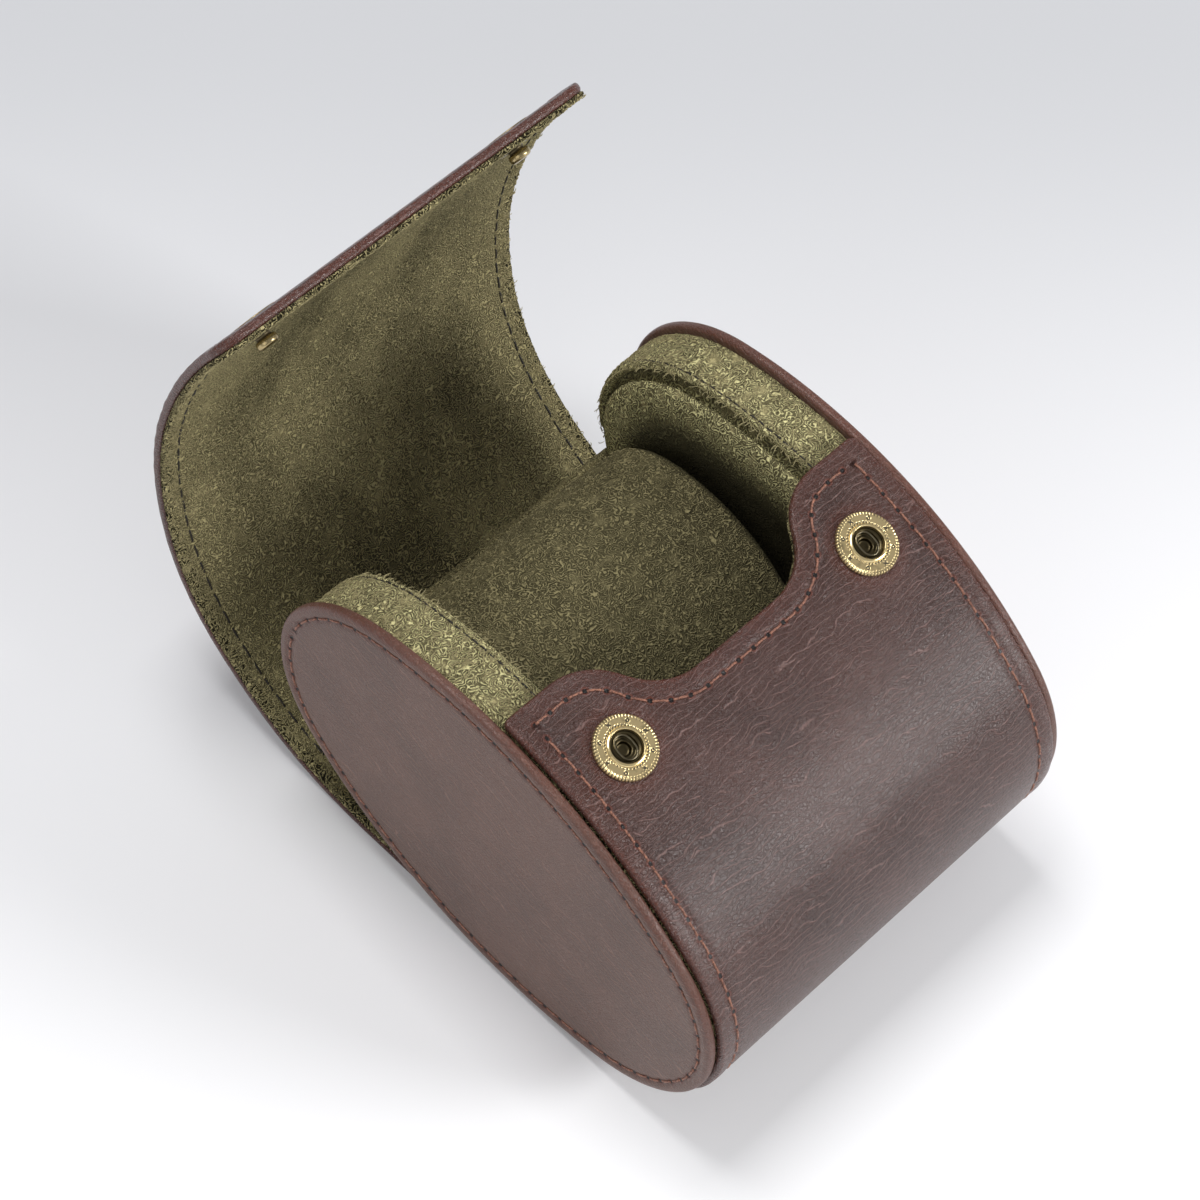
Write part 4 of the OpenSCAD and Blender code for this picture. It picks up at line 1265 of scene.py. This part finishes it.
def make_camera(values):
    """The camera: its back points away from the case along azimuth and elevation, turned by roll."""
    lens = bpy.data.cameras.new("camera")
    lens.lens, lens.sensor_width = values.lens, 36
    lens.clip_start, lens.clip_end = 0.05, 20
    a, e, roll = values.azimuth, values.elevation, values.roll
    back = np.array([math.sin(a) * math.cos(e), -math.cos(a) * math.cos(e), math.sin(e)])
    level = unit(np.cross(-back, [0, 0, 1]))
    down = np.cross(-back, level)
    right = math.cos(roll) * level + math.sin(roll) * down
    below = math.cos(roll) * down - math.sin(roll) * level
    turn = Matrix(np.stack([right, -below, back], 1).tolist()).to_4x4()
    camera = link("camera", lens)
    camera.matrix_world = Matrix.Translation(Vector(values.camera_at) + Vector((0, *CENTRE * MM))) @ turn
    bpy.context.scene.camera = camera


def make_stage(values):
    """The floor, a soft room, three lamps and the camera."""
    make_floor()
    world = bpy.data.worlds.new("room")
    world.use_nodes = True
    sky = world.node_tree.nodes["Background"].inputs
    sky["Color"].default_value = (*tint((248, 249, 252)), 1)
    sky["Strength"].default_value = values.room
    bpy.context.scene.world = world
    for name, place, size in LAMPS:
        lamp = bpy.data.lights.new(name, "AREA")
        lamp.size, lamp.energy = size, getattr(values, name)
        made = link(name, lamp)
        made.location = place
        made.rotation_euler = (LAMP_AIM - Vector(place)).to_track_quat("-Z", "Y").to_euler()
    bpy.context.scene.view_settings.view_transform = "Standard"
    make_camera(values)


# ---- Properties, operators and panel ----


def colour(name, text, rgb):
    """A colour property, from its default as it is seen, 0 to 255."""
    return FloatVectorProperty(name=name, description=text, subtype="COLOR", size=3, min=0, max=1,
                               default=tint(rgb))


class CaseColours(PropertyGroup):
    """Colours of the case's materials."""
    leather: colour("Wrap leather", "Colour of the wrap and the flap", (74, 44, 36))
    disc: colour("Disc leather", "Colour of the two end discs", (112, 81, 68))
    burnt: colour("Burnished edge", "Colour of the leather's worn edges", (100, 51, 37))
    suede: colour("Suede", "Colour of the suede lining and cushion", (121, 113, 82))
    brass: colour("Brass", "Colour of the snaps", (246, 222, 166))


def lamp_power(name, text, watts):
    """A property for the power of a lamp."""
    return FloatProperty(name=name, description=text, min=0, unit="POWER", default=watts)


def turn_property(name, text, degrees):
    """A property for an angle."""
    return FloatProperty(name=name, description=text, subtype="ANGLE", default=math.radians(degrees))


class StageValues(PropertyGroup):
    """Light and camera."""
    room: FloatProperty(name="Room light", description="Strength of the even light", min=0, default=0.38)
    front: lamp_power("Front lamp", "Power of the low lamp in front on the right", 11.5)
    top: lamp_power("Top lamp", "Power of the lamp above and behind", 10.0)
    side: lamp_power("Side lamp", "Power of the lamp on the left", 2.0)
    lens: FloatProperty(name="Lens", description="Focal length of the camera", min=10, unit="CAMERA",
                        default=121.96)
    azimuth: turn_property("Azimuth", "Direction of the camera round the case", -56.3222)
    elevation: turn_property("Elevation", "Height of the camera over the horizon", 57.6834)
    roll: turn_property("Roll", "Turn of the camera about its own line of sight", -12.4994)
    camera_at: FloatVectorProperty(name="Camera place", description="Camera's place from the discs' middle",
                                   subtype="TRANSLATION", unit="LENGTH", size=3,
                                   default=(-0.333525, -0.20191, 0.64383))


def operator(word, label, text, maker, needs=None):
    """A class of operator that runs one of the functions above, with a group of values if it needs one."""
    def execute(self, context):
        values = [getattr(context.scene, "travel_case_" + needs)] if needs else []
        maker(*values)
        return {"FINISHED"}
    return type("TRAVELCASE_OT_" + word, (Operator,), {
        "bl_idname": "travelcase." + word, "bl_label": label, "__doc__": text, "execute": execute})


OPERATORS = (
    operator("finishes", "Make finishes", "Make the materials", make_finishes, "colours"),
    operator("strip", "Make wrap and flap", "Make the leather and lining of wrap and flap", make_strip),
    operator("stitches", "Make stitches", "Sew the wrap, the flap and the discs", make_stitches),
    operator("discs", "Make discs", "Make the two leather end discs", make_discs),
    operator("walls", "Make walls", "Make the suede bands and pads of the end walls", make_walls),
    operator("seams", "Sew rims", "Sew the small stitches beside the rims' lips", make_seams),
    operator("fibres", "Make fibres", "Make the loose fibres of rims, cushion and flap edges", make_fibres),
    operator("tray", "Make tray", "Make the suede tray under the cushion", make_tray),
    operator("cushion", "Make cushion", "Make the loose suede cushion", make_cushion),
    operator("sockets", "Make sockets", "Make the two brass sockets in the wrap", make_sockets),
    operator("studs", "Make studs", "Make the studs and caps on the flap", make_studs),
    operator("hidden", "Finish hidden parts", "Give hidden boards and foam their materials", finish_hidden),
    operator("stage", "Make stage", "Make the floor, the light and the camera", make_stage, "stage"),
)


class TRAVELCASE_PT_panel(Panel):
    """Lists the steps of the travel case and its values."""
    bl_idname = "TRAVELCASE_PT_panel"
    bl_label = "Travel case"
    bl_space_type = "VIEW_3D"
    bl_region_type = "UI"
    bl_category = "Travel case"

    def draw(self, context):
        for group in (context.scene.travel_case_colours, context.scene.travel_case_stage):
            for name in group.__annotations__:
                self.layout.prop(group, name)
        for made in OPERATORS:
            self.layout.operator(made.bl_idname)


CLASSES = (CaseColours, StageValues, *OPERATORS, TRAVELCASE_PT_panel)


def register():
    for made in CLASSES:
        bpy.utils.register_class(made)
    bpy.types.Scene.travel_case_colours = PointerProperty(type=CaseColours)
    bpy.types.Scene.travel_case_stage = PointerProperty(type=StageValues)


def unregister():
    del bpy.types.Scene.travel_case_colours
    del bpy.types.Scene.travel_case_stage
    for made in reversed(CLASSES):
        bpy.utils.unregister_class(made)


def main():
    register()
    for made in OPERATORS:
        group, word = made.bl_idname.split(".")
        getattr(getattr(bpy.ops, group), word)()


if __name__ == "__main__":
    main()
